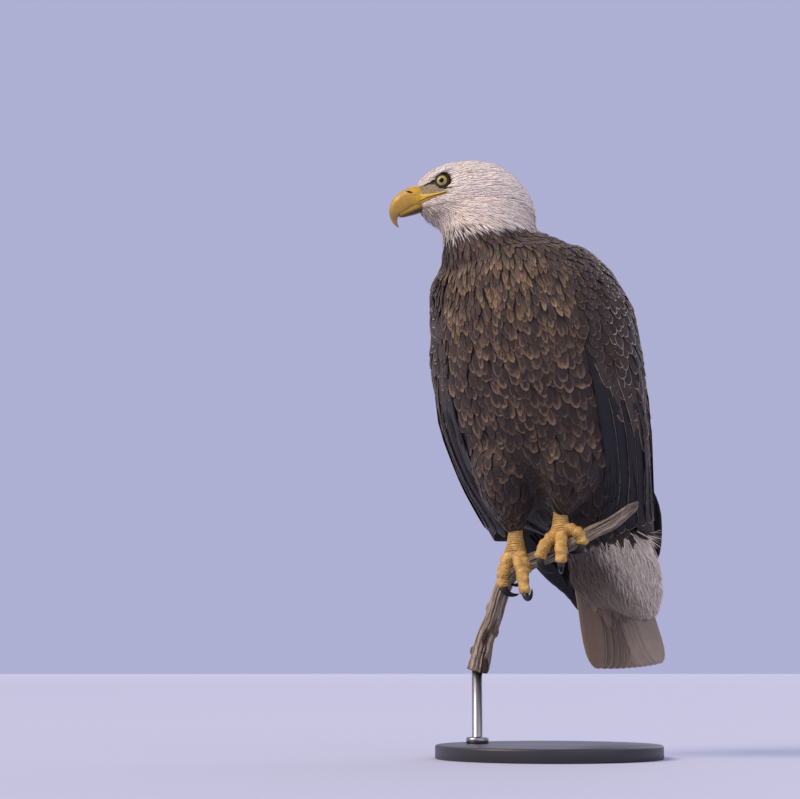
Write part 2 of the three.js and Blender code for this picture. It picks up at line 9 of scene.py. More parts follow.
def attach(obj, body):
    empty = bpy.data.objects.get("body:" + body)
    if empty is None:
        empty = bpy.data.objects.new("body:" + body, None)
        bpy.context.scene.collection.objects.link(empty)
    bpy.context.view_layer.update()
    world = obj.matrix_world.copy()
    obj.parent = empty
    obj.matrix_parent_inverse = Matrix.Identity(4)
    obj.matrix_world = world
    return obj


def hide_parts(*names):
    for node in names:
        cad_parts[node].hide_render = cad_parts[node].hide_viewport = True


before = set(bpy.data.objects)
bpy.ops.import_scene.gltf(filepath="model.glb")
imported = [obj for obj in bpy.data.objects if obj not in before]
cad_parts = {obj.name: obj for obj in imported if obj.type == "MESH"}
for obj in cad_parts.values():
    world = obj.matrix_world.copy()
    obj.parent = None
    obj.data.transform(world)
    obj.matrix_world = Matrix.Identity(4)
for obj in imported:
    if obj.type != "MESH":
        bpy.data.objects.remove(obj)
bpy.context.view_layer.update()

# A bald eagle on a short dead branch, as a still display model. Lengths are millimetres unless a name says
# otherwise; the bird faces -Y and its left is +X.
mm = 0.001
scene = bpy.context.scene
dice = np.random.default_rng(1782)

grip = np.array([0.0, 0.0, 264.0])  # the middle of the branch between the feet, above the floor


# small tools
def unit(vectors):
    return vectors / np.maximum(np.linalg.norm(vectors, axis=-1, keepdims=True), 1e-9)


def smoothStep(low, high, value):
    t = np.clip((value - low) / (high - low), 0, 1)
    return t * t * (3 - 2 * t)


def through(rows, t):
    # a smooth curve through a table's rows, or through single numbers, at each t from 0 to 1
    rows = np.asarray(rows, float)
    place = np.clip(t, 0, 1) * (len(rows) - 1)
    start = np.minimum(place.astype(int), len(rows) - 2)
    f = (place - start)[:, None] if rows.ndim > 1 else place - start
    a, b, c, d = (rows[np.clip(start + i, 0, len(rows) - 1)] for i in (-1, 0, 1, 2))
    return b + 0.5 * f * (c - a + f * (2 * a - 5 * b + 4 * c - d + f * (3 * (b - c) + d - a)))


def aroundOnce(count):
    return np.linspace(0, 2 * np.pi, count, endpoint=False)


def onSurface(vectors, normals):
    return unit(vectors - normals * np.einsum("ij,ij->i", vectors, normals)[:, None])


def linear(hexColour):
    values = np.array([int(hexColour[i:i + 2], 16) / 255 for i in (1, 3, 5)])
    return np.where(values <= 0.04045, values / 12.92, ((values + 0.055) / 1.055) ** 2.4)


def over(base, hexColour, share):
    # a colour laid over what is there, by a share for each place
    return base * (1 - share[..., None]) + linear(hexColour) * share[..., None]


def blended(first, second, share):
    return over(linear(first), second, share)


def paint(hexColour):
    return (*linear(hexColour), 1.0)


def newPiece(name, points, loops, sizes, finish):
    mesh = bpy.data.meshes.new(name)
    mesh.vertices.add(len(points))
    mesh.vertices.foreach_set("co", (np.asarray(points) * mm).ravel())
    mesh.loops.add(len(loops))
    mesh.loops.foreach_set("vertex_index", loops)
    mesh.polygons.add(len(sizes))
    mesh.polygons.foreach_set("loop_start", np.concatenate([[0], np.cumsum(sizes)[:-1]]))
    mesh.update(calc_edges=True)
    mesh.shade_smooth()
    mesh.materials.append(finish)
    piece = bpy.data.objects.new(name, mesh)
    scene.collection.objects.link(piece)
    return piece


def tubeSides(rows, around):
    near = np.arange(around)
    far = (near + 1) % around
    starts = np.arange(rows - 1)[:, None] * around
    return np.stack([starts + near, starts + far, starts + around + far, starts + around + near], -1)


def tubeFaces(rows, around, copies=1):
    # side quads and two end caps of a closed tube, repeated for each copy of it
    near = np.arange(around)
    loops = np.concatenate([tubeSides(rows, around).ravel(), near[::-1], near + (rows - 1) * around])
    sizes = np.concatenate([np.full((rows - 1) * around, 4), [around, around]])
    shift = np.arange(copies)[:, None] * rows * around
    return (loops + shift).ravel(), np.tile(sizes, copies)


def turnedOut(points, loops, sizes):
    # the same faces, with their corners reversed where the solid would be inside out
    starts = np.concatenate([[0], np.cumsum(sizes)[:-1]])
    a, b, c = (points[loops[starts + i]] for i in (0, 1, 2))
    if np.einsum("ij,ij->i", np.cross(b - a, c - a), a - points.mean(0)).sum() > 0:
        return loops
    owner = np.repeat(np.arange(len(sizes)), sizes)
    step = np.arange(len(loops)) - starts[owner]
    return loops[starts[owner] + sizes[owner] - 1 - step]


def tubePiece(name, rings, finish):
    points = rings.reshape(-1, 3)
    loops, sizes = tubeFaces(*rings.shape[:2])
    return newPiece(name, points, turnedOut(points, loops, sizes), sizes, finish)


def ringsRound(line, across, top, wide, tall, turns):
    # a ring of places round each place of a line; wide and tall say how far it reaches across and up
    return (line[:, None] + across[:, None] * (wide * np.cos(turns))[..., None]
            + top[:, None] * (tall * np.sin(turns))[..., None])


def roundedEnds(t, power, least=1e-3):
    # a share of the full size that falls off near both ends of a tube, later with a higher power
    return np.sqrt(np.maximum(least, 1 - np.abs(2 * t - 1) ** power))


def joined(name, pieces):
    # several pieces as one, in the first one's place
    with bpy.context.temp_override(
        active_object=pieces[0], object=pieces[0], selected_editable_objects=pieces, selected_objects=pieces
    ):
        bpy.ops.object.join()
    pieces[0].name = name
    pieces[0].data.name = name
    return pieces[0]


def addValues(piece, name, values, kind="FLOAT"):
    attribute = piece.data.attributes.new(name, kind, "POINT")
    attribute.data.foreach_set({"FLOAT": "value", "FLOAT_VECTOR": "vector", "FLOAT_COLOR": "color"}[kind],
                               np.asarray(values, np.float32).ravel())


def addColour(piece, name, colours, gloss=1.0):
    # gloss goes with the colour: 1 where the surface shines and 0 where it is dull
    shine = np.broadcast_to(gloss, np.shape(colours)[:-1])[..., None]
    addValues(piece, name, np.concatenate([colours, shine], -1), "FLOAT_COLOR")


def placed(piece, slot, *nodes):
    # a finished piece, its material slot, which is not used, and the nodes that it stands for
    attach(piece, "root")
    if nodes:
        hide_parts(*nodes)
    return piece


def addNode(tree, kind, settings=None, links=None):
    # a link's source is a socket, or a node for its first socket
    node = tree.nodes.new("ShaderNode" + kind)
    for key, value in (settings or {}).items():
        if isinstance(key, str) and hasattr(node, key):
            setattr(node, key, value)
        else:
            node.inputs[key].default_value = value
    for key, source in (links or {}).items():
        tree.links.new(getattr(source, "outputs", [source])[0], node.inputs[key])
    return node


def span(*ends):
    # how a range of values is laid on another: from, from, to, to
    return dict(zip(("From Min", "From Max", "To Min", "To Max"), ends))


def mixOf(first, second):
    # the settings of a mix from one colour to another
    return {"data_type": "RGBA", 6: paint(first), 7: paint(second)}


def newFinish(name, reads=(), **sockets):
    # a material with its shader's plain settings, and nodes that read values from the mesh
    material = bpy.data.materials.new(name)
    material.use_nodes = True
    tree = material.node_tree
    shader = tree.nodes["Principled BSDF"]
    for key, value in sockets.items():
        shader.inputs[key.replace("_", " ")].default_value = value
    return (material, tree, shader, *(addNode(tree, "Attribute", {"attribute_name": key}) for key in reads))


def wired(tree, shader, height, strength, distance, **sources):
    # the sources into the shader's sockets, and a bump from a height; its distance is in metres
    bump = {"Strength": strength, "Distance": distance}
    sources["Normal"] = addNode(tree, "Bump", bump, {"Height": height})
    for key, source in sources.items():
        tree.links.new(getattr(source, "outputs", [source])[0], shader.inputs[key.replace("_", " ")])


# camera and light
view = {
    "azimuth": 22, "rise": 8, "target": (-182, -73, 477), "distance": 2600, "lens": 86.67, "sensor": 36,
    "clipMetres": 200,
    "floorRadius": 60000, "floor": "#a9b1c6", "floorSpots": "#c2c4d8", "air": "#b3b6da", "airStrength": 0.93,
    # each light: where it comes from, how wide it looks in degrees, its strength and its colour
    "lights": {
        "key": ((-0.62, -0.62, 0.78), 34, 3.0, "#ffe8cb"),
        "fill": ((0.85, -0.5, 0.35), 70, 0.7, "#ffecd6"),
        "back": ((0.15, 0.8, 0.6), 60, 0.7, "#f4f1ff"),
    },
}


def aimed(name, data, place, look):
    # a camera or light at a place, turned to look along a direction
    item = bpy.data.objects.new(name, data)
    item.location = place
    item.rotation_euler = look.to_track_quat("-Z", "Y").to_euler()
    scene.collection.objects.link(item)
    return item


def setTheView():
    turn, rise = math.radians(view["azimuth"]), math.radians(view["rise"])
    look = Vector((-math.sin(turn) * math.cos(rise), math.cos(turn) * math.cos(rise), math.sin(rise)))
    camera = bpy.data.cameras.new("camera")
    camera.lens = view["lens"]
    camera.sensor_width = view["sensor"]
    camera.clip_end = view["clipMetres"]
    scene.camera = aimed("camera", camera, (Vector(view["target"]) - look * view["distance"]) * mm, look)
    scene.view_settings.view_transform = "Standard"
    for name, (source, wide, strength, colour) in view["lights"].items():
        light = bpy.data.lights.new(name + "_light", "SUN")
        light.energy = strength
        light.angle = math.radians(wide)
        light.color = linear(colour)
        aimed(name + "_light", light, source, -Vector(source))
    scene.world = bpy.data.worlds.new("air")
    scene.world.use_nodes = True
    air = scene.world.node_tree.nodes["Background"]
    air.inputs["Color"].default_value = paint(view["air"])
    air.inputs["Strength"].default_value = view["airStrength"]


def makeFloor(corners=96):
    # plain painted plaster: no shine, the faintest mottling of its own
    material, tree, shader = newFinish("painted_plaster", Roughness=0.9)
    spots = addNode(tree, "TexNoise", {"Scale": 3.0, "Detail": 4.0})
    shade = addNode(tree, "Mix", mixOf(view["floor"], view["floorSpots"]), {0: spots})
    tree.links.new(shade.outputs[2], shader.inputs["Base Color"])
    turns = aroundOnce(corners)
    rim = np.stack([np.cos(turns), np.sin(turns), np.zeros(corners)], -1) * view["floorRadius"]
    newPiece("floor", rim, np.arange(corners), np.array([corners]), material)


setTheView()
makeFloor()
print("camera, light and floor are set")

# the surface that the feather tips lie on, made from the flesh nodes as one
shell = {
    "voxel": 2.4, "smoothing": 7, "evening": 3,
    # where creases are filled: the middle, the reach each way and how many rounds
    "creases": [((-8, -8, 116), (110, 80, 56), 60), ((-116, -92, 436), (34, 34, 26), 50),
                ((-118, -70, 404), (46, 46, 26), 40)],
    # where the plumage is fuller: the middle, the reach each way and how much
    "fuller": [((-136, -64, 362), (70, 70, 44), 9.0), ((-128, -70, 399), (44, 44, 24), 5.5),
               ((-2, 121, -62), (62, 70, 75), 24.0)],
}
# the flesh nodes that the plumage lies on, and how deep under the feather tips the skin is on each
skinDepths = {"head": 2.4, "neck": 4, "trunk": 6, "thigh_left": 5, "thigh_right": 5, "vent": 6,
              "wing_left": 3, "wing_right": 3}
fleshNodes = list(skinDepths)


def onNodes(regions, *names):
    return np.isin(regions, [fleshNodes.index(name) for name in names])


def treeOf(points, faces):
    return BVHTree.FromPolygons([Vector(point) for point in points], faces)


def numbersOf(items, key, size, kind=float):
    # one value, or size of them, from each of Blender's items
    values = np.empty(len(items) * size, kind)
    items.foreach_get(key, values)
    return values.reshape(-1, size)


def biggestPart(points, faces):
    label = np.arange(len(points))
    while True:
        low = label[faces].min(1)
        before = label.copy()
        for corner in range(4):
            np.minimum.at(label, label[faces[:, corner]], low)
        for _ in range(4):
            label = label[label]
        if (label == before).all():
            break
    names, counts = np.unique(label, return_counts=True)
    kept = label == names[counts.argmax()]
    number = np.cumsum(kept) - 1
    return points[kept], number[faces[kept[faces].all(1)]]


def makeShell():
    points, faces, owners, used = [], [], [], 0
    for index, name in enumerate(fleshNodes):
        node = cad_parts[name].data
        points.append(numbersOf(node.vertices, "co", 3) / mm)
        faces += [tuple(corner + used for corner in face.vertices) for face in node.polygons]
        owners += [index] * len(node.polygons)
        used += len(points[-1])
    points = np.concatenate(points)
    mesh = bpy.data.meshes.new("flesh")
    mesh.from_pydata((points * mm).tolist(), [], faces)
    source = bpy.data.objects.new("flesh", mesh)
    scene.collection.objects.link(source)
    remesh = source.modifiers.new("remesh", "REMESH")
    remesh.mode = "VOXEL"
    remesh.voxel_size = shell["voxel"] * mm
    smooth = source.modifiers.new("smooth", "SMOOTH")
    smooth.factor = 0.5
    smooth.iterations = shell["smoothing"]
    ready = source.evaluated_get(bpy.context.evaluated_depsgraph_get()).data
    made = numbersOf(ready.vertices, "co", 3) / mm
    corners = numbersOf(ready.loops, "vertex_index", 1, int).reshape(-1, 4)
    bpy.data.objects.remove(source)
    made, quads = biggestPart(made, corners)
    return softened(made, quads), quads, treeOf(points, faces), np.array(owners)


def softened(points, quads):
    # the creases between the thighs and at the front of the neck are filled, as loose plumage does
    edges = np.concatenate([quads[:, [i, (i + 1) % 4]] for i in range(4)])
    shares = np.bincount(edges.ravel(), minlength=len(points))[:, None]
    points = points.copy()
    for middle, size, rounds in shell["creases"]:
        near = np.linalg.norm((points - grip - middle) / np.array(size), axis=1)
        amount = smoothStep(1.25, 0.75, near)[:, None]
        for _ in range(rounds):
            total = np.zeros_like(points)
            for axis in range(3):
                total[:, axis] = (np.bincount(edges[:, 0], points[edges[:, 1], axis], len(points))
                                  + np.bincount(edges[:, 1], points[edges[:, 0], axis], len(points)))
            points += (total / shares - points) * amount * 0.6
    return points


shellPoints, shellQuads, fleshBvh, fleshOwners = makeShell()


def perPoint(values):
    # the sum, at each of the shell's points, of what the faces round it have
    total = np.zeros((len(shellPoints), *values.shape[1:]))
    for corner in range(4):
        np.add.at(total, shellQuads[:, corner], values)
    return total


def facesCross():
    # a vector square to each of the shell's faces, twice as long as the face is large
    a, b, c, d = (shellPoints[shellQuads[:, corner]] for corner in range(4))
    return np.cross(c - a, d - b)


shellNormals = unit(perPoint(facesCross()))
fullness = np.zeros(len(shellPoints))
for middle, size, amount in shell["fuller"]:
    away = np.linalg.norm((shellPoints - grip - middle) / np.array(size), axis=1)
    fullness += amount * smoothStep(1.0, 0.0, away)
shellPoints = shellPoints + shellNormals * fullness[:, None]
for _ in range(shell["evening"]):  # so that neighbouring vanes lie at like angles
    shellNormals = unit(perPoint(shellNormals[shellQuads].sum(1)))
faceNormals = unit(shellNormals[shellQuads].sum(1))
shellBvh = treeOf(shellPoints, shellQuads.tolist())


def settled(points):
    # the nearest place on the shell for each point, and which way is out there
    hits = [shellBvh.find_nearest(point) for point in points.tolist()]
    return np.array([hit[0] for hit in hits]), faceNormals[[hit[2] for hit in hits]]


def regionOf(points):
    return fleshOwners[[fleshBvh.find_nearest(point)[2] for point in points.tolist()]]


print("the shell has", len(shellPoints), "points")

# where things are on the head
head = {
    "place": (-113, -88, 503), "turn": -158,
    "eye": (0, 15, -3.5), "eyeRadius": 12, "gaze": (0.25, 1.0, 0.02), "billRoot": (44, 0, -20),
}
headTurn = math.radians(head["turn"])
headAxes = np.array([
    [math.cos(headTurn), math.sin(headTurn), 0],
    [-math.sin(headTurn), math.cos(headTurn), 0],
    [0, 0, 1],
])
headMiddle = np.array(head["place"]) + grip


def onHead(local):
    return np.asarray(local, float) @ headAxes + headMiddle


def inHead(points):
    return (points - headMiddle) @ headAxes.T


def fromBillRoot(points):
    return np.linalg.norm(inHead(points) - np.array(head["billRoot"]), axis=1)


def heightOf(points):
    return points[:, 2] - grip[2]


bill = {
    # along the bill from under the forehead feathers to the hook: x, z, half width, half height, on the head
    "upper": [(20, -16, 11, 10), (29, -17, 13, 12), (38, -18.5, 13.3, 13), (49, -23, 12.3, 13),
              (59.5, -31, 10.3, 11.8), (66, -42, 6.8, 7.3), (65.5, -53, 3.4, 3.6), (60.3, -62, 0.9, 0.95)],
    "lower": [(10, -28, 11, 6), (18, -30, 11, 6), (30, -34, 11, 6.6), (43, -39, 9.5, 5.8),
              (55, -44, 6.6, 3.8), (60, -46, 3.8, 2)],
    # half of each section, across and up
    "upperSection": [(0, 1), (0.36, 0.94), (0.66, 0.74), (0.88, 0.4), (0.98, 0), (1.0, -0.4), (0.95, -0.74),
                     (0.85, -0.99), (0.62, -0.84), (0.3, -0.74), (0, -0.72)],
    "lowerSection": [(0, 0.55), (0.4, 0.62), (0.8, 0.9), (0.97, 1.0), (1.0, 0.6), (0.97, 0.1), (0.84, -0.45),
                     (0.55, -0.85), (0.25, -0.99), (0, -1)],
    # the nostril's x and z, half its length and height, and its slant in degrees
    "nostril": (45.6, -15.6, 5.0, 1.15, -22), "nostrilDeep": 1.5, "cereFront": 44, "cereProud": 0.4,
    # the line of the mouth, front to back, and how far the bare skin reaches above and below it
    "mouth": [(46, -34.4), (38, -31.2), (30, -28.4), (22, -26), (14, -24.2), (6, -22.6), (0, -21.2),
              (-6.8, -19.4)],
    "gapeAbove": [16, 14.5, 10.5, 6.6, 4.6, 3.4, 2.4, 0.7],
    "gapeBelow": [3.6, 3.8, 4.0, 3.6, 2.8, 2.0, 1.4, 0.6],
    # dark is painted shade in the nostril, the mouth's groove and where the bills meet; the colour under the
    # lower bill and the gape is darker horn with painted shade, mostly shade
    "horn": "#b48d38", "hornTip": "#8f7645", "cere": "#c79f2e", "dark": "#151110", "under": "#3d3122",
}
mouthX, mouthZ = np.array(bill["mouth"][::-1], float).T

# how the plumage lies, and its colours
lie = {
    "billSource": (52, 0, -14), "tailEnd": (60, 250, -190), "collarFrom": 392, "collarTo": 452,
    "ventEnd": (118, 190, -150), "throatDroop": 0.9, "thighs": (0.0, 0.12, -1.0),
    "hackleEdge": (-56, -66, 441), "hackleSlope": (-0.1, -0.1, 1.0),
}
colours = {
    "cream": "#f5ebdf", "creamShade": "#c2a68b", "ear": "#b0926a", "lore": "#b3a27e", "darkSkin": "#221d1e",
    "brown": "#3b312c", "golden": "#94744c", "pale": "#b39a76", "edge": "#8e7257", "wingEdge": "#dcc6a6",
    "black": "#19181d", "outerEdge": "#6b5a4a", "tipEdge": "#4a4038", "belly": "#302622",
    # tail is the white tail painted dingy and partly in shade; tailShade and ventShade are painted shade on
    # the tail, its coverts and the fluff, at the chin and in the jaw's fold
    "tail": "#b8a894", "tailShade": "#8a7765", "tailEdge": "#efe8e0", "fluff": "#f2e5d3",
    "ventShade": "#6f6157",
}
brow = {
    # the dark line over the eye on the side of the head, back to front, how far the dark skin and painted
    # shade under the brow reach below it, and how thick the fold of skin along it is
    "x": [-12, -9, -4, 1.5, 6.8, 13.6, 20, 28.2], "z": [2.0, 4.6, 6.2, 5.6, 2.6, -2.4, -5.2, -7.9],
    "deep": [0.5, 1.0, 1.5, 3, 7.0, 5.2, 2.4, 0.8], "crease": [0.1, 0.3, 0.9, 1.5, 1.5, 1.2, 0.9, 0.4],
}


def lieAt(points, regions):
    toTail, toVent = (unit(np.array(lie[key]) + grip - points) for key in ("tailEnd", "ventEnd"))
    fromBill = unit(points - onHead(lie["billSource"]))
    blend = smoothStep(lie["collarFrom"], lie["collarTo"], heightOf(points))[:, None]
    local = inHead(points)
    throat = smoothStep(-34, 2, local[:, 0]) * smoothStep(-34, -52, local[:, 2])
    fromBill = unit(fromBill - np.array([0, 0, 1.0]) * (lie["throatDroop"] * throat)[:, None])
    flow = unit(fromBill * blend + toTail * (1 - blend))
    flow = np.where(onNodes(regions, "vent")[:, None], toVent, flow)
    thighs = onNodes(regions, "thigh_left", "thigh_right")[:, None]
    return np.where(thighs, unit(np.array(lie["thighs"])), flow)


def aboveHackles(points):
    # how far a point is above the ragged line where white meets brown
    return (points - grip - np.array(lie["hackleEdge"])) @ unit(np.array(lie["hackleSlope"]))


# feathers
shapes = {
    # places along a vane, and its half width at each
    "vane": ([0, 0.2, 0.42, 0.6, 0.76, 0.88, 0.96, 1.0], [0.34, 0.6, 0.86, 1.0, 0.98, 0.8, 0.5, 0.12]),
    "lance": ([0, 0.22, 0.45, 0.62, 0.76, 0.86, 0.94, 1.0], [0.5, 0.8, 0.96, 1.0, 0.92, 0.74, 0.46, 0.1]),
    "hackle": ([0, 0.3, 0.6, 0.84, 1.0], [0.6, 1.0, 0.88, 0.46, 0.05]),
    "blade": ([0, 0.08, 0.18, 0.3, 0.42, 0.54, 0.65, 0.75, 0.83, 0.9, 0.945, 0.975, 0.993, 1.0],
              [0.4, 0.7, 0.9, 1, 1, 1, 1, 0.99, 0.95, 0.86, 0.73, 0.54, 0.3, 0.1]),
}


def marched(roots, regions, long, rows, stray):
    # the middle line of each vane, walked along the shell from its root
    places, normals = settled(roots)
    heading = onSurface(lieAt(places, regions), normals)
    side = np.cross(heading, normals)
    heading = onSurface(heading + side * stray[:, None], normals)
    line, ups, aheads = [places], [normals], [heading]
    for i in range(1, len(rows)):
        step = (long * (rows[i] - rows[i - 1]))[:, None]
        guess = places + heading * step
        found, out = settled(guess)
        stays = (np.einsum("ij,ij->i", out, normals) > 0.35)[:, None]
        stays &= np.linalg.norm(found - guess, axis=1, keepdims=True) < 0.6 * step + 1
        places = np.where(stays, found, guess)
        turned = np.where(stays, out, normals)
        pull = onSurface(lieAt(places, regions) + side * stray[:, None], turned)
        normals = turned
        heading = onSurface(heading * 0.5 + pull * 0.5, normals)
        line.append(places)
        ups.append(normals)
        aheads.append(heading)
    return np.stack(line, 1), np.stack(ups, 1), np.stack(aheads, 1)


def vaneMeshes(line, ups, aheads, rows, widths, long, wide, height, columns, camber, thick, rag, twist,
               skew=0):
    # closed vanes: a cambered top of some columns over a flatter underside that meets it at both edges
    count, rowCount = line.shape[:2]
    side = unit(np.cross(aheads, ups))
    angle = twist[:, None, None]
    side, ups = side * np.cos(angle) + ups * np.sin(angle), ups * np.cos(angle) - side * np.sin(angle)
    across = np.concatenate([np.linspace(-1, 1, columns), np.linspace(1, -1, columns)[1:-1]])
    below = np.arange(len(across)) >= columns
    around = len(across)
    half = wide[:, None] * widths[None, :]
    ragged = 1 + rag * dice.uniform(-1, 0.6, (count, rowCount, around))
    offset = across * half[:, :, None] * np.where(np.abs(across) > 0.99, ragged, 1)
    offset = offset + skew * half[:, :, None] * (1 - across ** 2)
    lift = height[:, :, None] - camber * np.abs(offset) ** 2 / np.maximum(wide[:, None, None], 1e-6)
    body = thick * (1 - np.abs(across) ** 2.0) * (1 - 0.6 * rows[None, :, None])
    lift = lift + np.where(below, -0.5, 0.5) * body
    points = line[:, :, None] + side[:, :, None] * offset[..., None] + ups[:, :, None] * lift[..., None]
    alongs = np.broadcast_to(long[:, None, None] * rows[None, :, None], offset.shape)
    edge = half[:, :, None] * (1 - np.abs(across))
    toTip = long[:, None, None] * (1 - rows[None, :, None])
    vane = np.stack([offset, alongs, np.minimum(edge, toTip * 0.8)], -1)
    return points, vane


unwrapPatch = 0.0015  # half the size of each feather's patch on the unwrap


def coatPiece(name, slot, points, vane, tint, fringe, rimWide, rootUv, finish):
    # one mesh of many vanes, with what their finish reads and a small patch each on the skin's unwrap
    count, rowCount, around = grid = points.shape[:3]
    loops, sizes = tubeFaces(rowCount, around, count)
    flat = points.reshape(-1, 3)
    one = rowCount * around
    checked = turnedOut(flat[:one], loops[:len(loops) // count], sizes[:len(sizes) // count])
    loops = (checked + np.arange(count)[:, None] * one).ravel()
    piece = newPiece(name, flat, loops, sizes, finish)
    addValues(piece, "vane", vane, "FLOAT_VECTOR")
    addColour(piece, "tint", np.broadcast_to(tint, (*grid, 3)))
    addColour(piece, "fringe", np.broadcast_to(fringe, (*grid, 3)))
    addValues(piece, "rim", np.broadcast_to(rimWide[:, None, None], grid))
    addValues(piece, "chance", np.broadcast_to(dice.random((count, 1, 1)), grid))
    widest = np.abs(vane[..., 0]).max((1, 2))[:, None, None] + 1e-6
    longest = vane[..., 1].max((1, 2))[:, None, None] + 1e-6
    share = np.stack([vane[..., 0] / widest, 2 * vane[..., 1] / longest - 1], -1)
    uv = (rootUv[:, None, None] + unwrapPatch * share).reshape(-1, 2)[loops]
    piece.data.uv_layers.new(name="OFBake").data.foreach_set("uv", uv.astype(np.float32).ravel())
    print(name, count, "feathers,", len(piece.data.loops) - 2 * len(piece.data.polygons), "triangles")
    return placed(piece, slot)


quadMiddles = shellPoints[shellQuads].mean(1)
quadRegions = regionOf(quadMiddles)
quadHeights = heightOf(quadMiddles)
quadAreas = 0.5 * np.linalg.norm(facesCross(), axis=1)

# what each feather finish looks like. barb: from one barb to the next in mm, about 1 where the real one is
# 0.4, so that it shows; slope: how far the barbs slant; shaft: how bright the middle is
vaneFinishes = {
    "white_keratin_vane": {"barb": 0.7, "barbDepth": 0.2, "streaks": 0.26, "slope": 0.12, "shaft": 1.0,
                           "roughness": 0.68, "sheen": 0.12},
    "brown_keratin_vane": {"barb": 0.9, "barbDepth": 0.3, "streaks": 1.1, "slope": 0.3, "shaft": 1.03,
                           "roughness": 0.6, "sheen": 0.06},
    "black_keratin_vane": {"barb": 1.2, "barbDepth": 0.35, "streaks": 0.8, "slope": 0.9, "shaft": 1.4,
                           "roughness": 0.45, "sheen": 0.04},
    "tail_keratin_vane": {"barb": 1.2, "barbDepth": 0.35, "streaks": 0.8, "slope": 0.9, "shaft": 0.8,
                          "roughness": 0.58, "sheen": 0.06},
}


def featherFinish(name):
    # overlapping keratin vanes: matt and faintly ribbed by their barbs, with a paler worn rim
    look = vaneFinishes[name]
    material, tree, shader, vane, tint, fringe, chance, rimWide = newFinish(
        name, ("vane", "tint", "fringe", "chance", "rim"), Roughness=look["roughness"],
        Sheen_Weight=look["sheen"], Sheen_Roughness=0.5, Specular_IOR_Level=0.3)
    parts = addNode(tree, "SeparateXYZ", links={0: vane.outputs["Vector"]})

    def maths(operation, *values):
        # a sum on numbers and sockets alike
        settings = {slot: value for slot, value in enumerate(values) if isinstance(value, (int, float))}
        links = {slot: value for slot, value in enumerate(values) if slot not in settings}
        return addNode(tree, "Math", {"operation": operation, **settings}, links).outputs[0]

    # barbs leave the shaft at a slant and run on towards the tip; streaks follow them
    across, along, edge = maths("ABSOLUTE", parts.outputs["X"]), parts.outputs["Y"], parts.outputs["Z"]
    slant = maths("MULTIPLY_ADD", along, -look["slope"], across)
    wave = maths("SINE", maths("MULTIPLY", slant, 2 * math.pi / look["barb"]))
    streakPlace = addNode(tree, "CombineXYZ", links={
        0: maths("MULTIPLY", slant, 0.75), 1: maths("MULTIPLY", along, 0.07),
        2: maths("MULTIPLY", chance.outputs["Fac"], 300.0)})
    streak = addNode(tree, "TexNoise", {"Scale": 1.0, "Detail": 4.0, "Roughness": 0.7},
                     {"Vector": streakPlace})
    centred = maths("SUBTRACT", streak.outputs["Fac"], 0.5)
    streaked = maths("MULTIPLY_ADD", centred, look["streaks"], 1.0)
    brightness = maths("MULTIPLY_ADD", wave, 0.015, streaked)
    fromEdge = maths("DIVIDE", edge, rimWide.outputs["Fac"])
    smooth = {"interpolation_type": "SMOOTHSTEP"}
    rim = addNode(tree, "MapRange", {**smooth, **span(0.05, 1.0, 1.0, 0.0)},
                  {"Value": maths("MULTIPLY_ADD", centred, 2.4, fromEdge)})
    coloured = addNode(tree, "Mix", {"data_type": "RGBA"}, {0: rim, 6: tint, 7: fringe})
    shaft = addNode(tree, "MapRange", {**smooth, **span(0.1, 0.5, look["shaft"], 1.0)}, {"Value": across})
    shaded = addNode(tree, "VectorMath", {"operation": "SCALE"}, {
        0: coloured.outputs[2], "Scale": maths("MULTIPLY", brightness, shaft.outputs["Result"])})
    height = maths("MULTIPLY_ADD", wave, 0.2, streak.outputs["Fac"])
    wired(tree, shader, height, look["barbDepth"], 0.0006, Base_Color=shaded)
    return material


whiteVane, brownVane, darkVane, tailVane = (featherFinish(name) for name in vaneFinishes)


# the skin under the coat
def makeSkin():
    near = np.interp(fromBillRoot(quadMiddles), [10, 40, 80], [0.5, 1.0, 2.4])
    depth = np.minimum(skinDepthAt(quadMiddles, quadRegions), near)
    pointDepth = perPoint(depth) / perPoint(np.ones(len(depth))) + fullness
    points = shellPoints - shellNormals * pointDepth[:, None]
    # thin living skin, dull and finely creased, darkened by painted shade from the coat over it
    material, tree, shader, tint = newFinish("bird_skin", ("tint",), Roughness=0.7)
    pores = addNode(tree, "TexNoise", {"Scale": 900.0, "Detail": 3.0})
    wired(tree, shader, pores, 0.3, 0.0005, Base_Color=tint)
    skin = newPiece("skin", points, shellQuads.ravel(), np.full(len(shellQuads), 4), material)
    regions = regionOf(shellPoints)
    white = (aboveHackles(shellPoints) > 0) | onNodes(regions, "vent")
    addColour(skin, "tint", markings(shellPoints, regions)[0] * np.where(white, 0.95, 0.7)[:, None])
    placed(skin, "brown_feather", *fleshNodes)


def skinDepthAt(points, regions):
    return np.array(list(skinDepths.values()))[regions]


def browAt(key, x):
    return np.interp(x, brow["x"], brow[key])


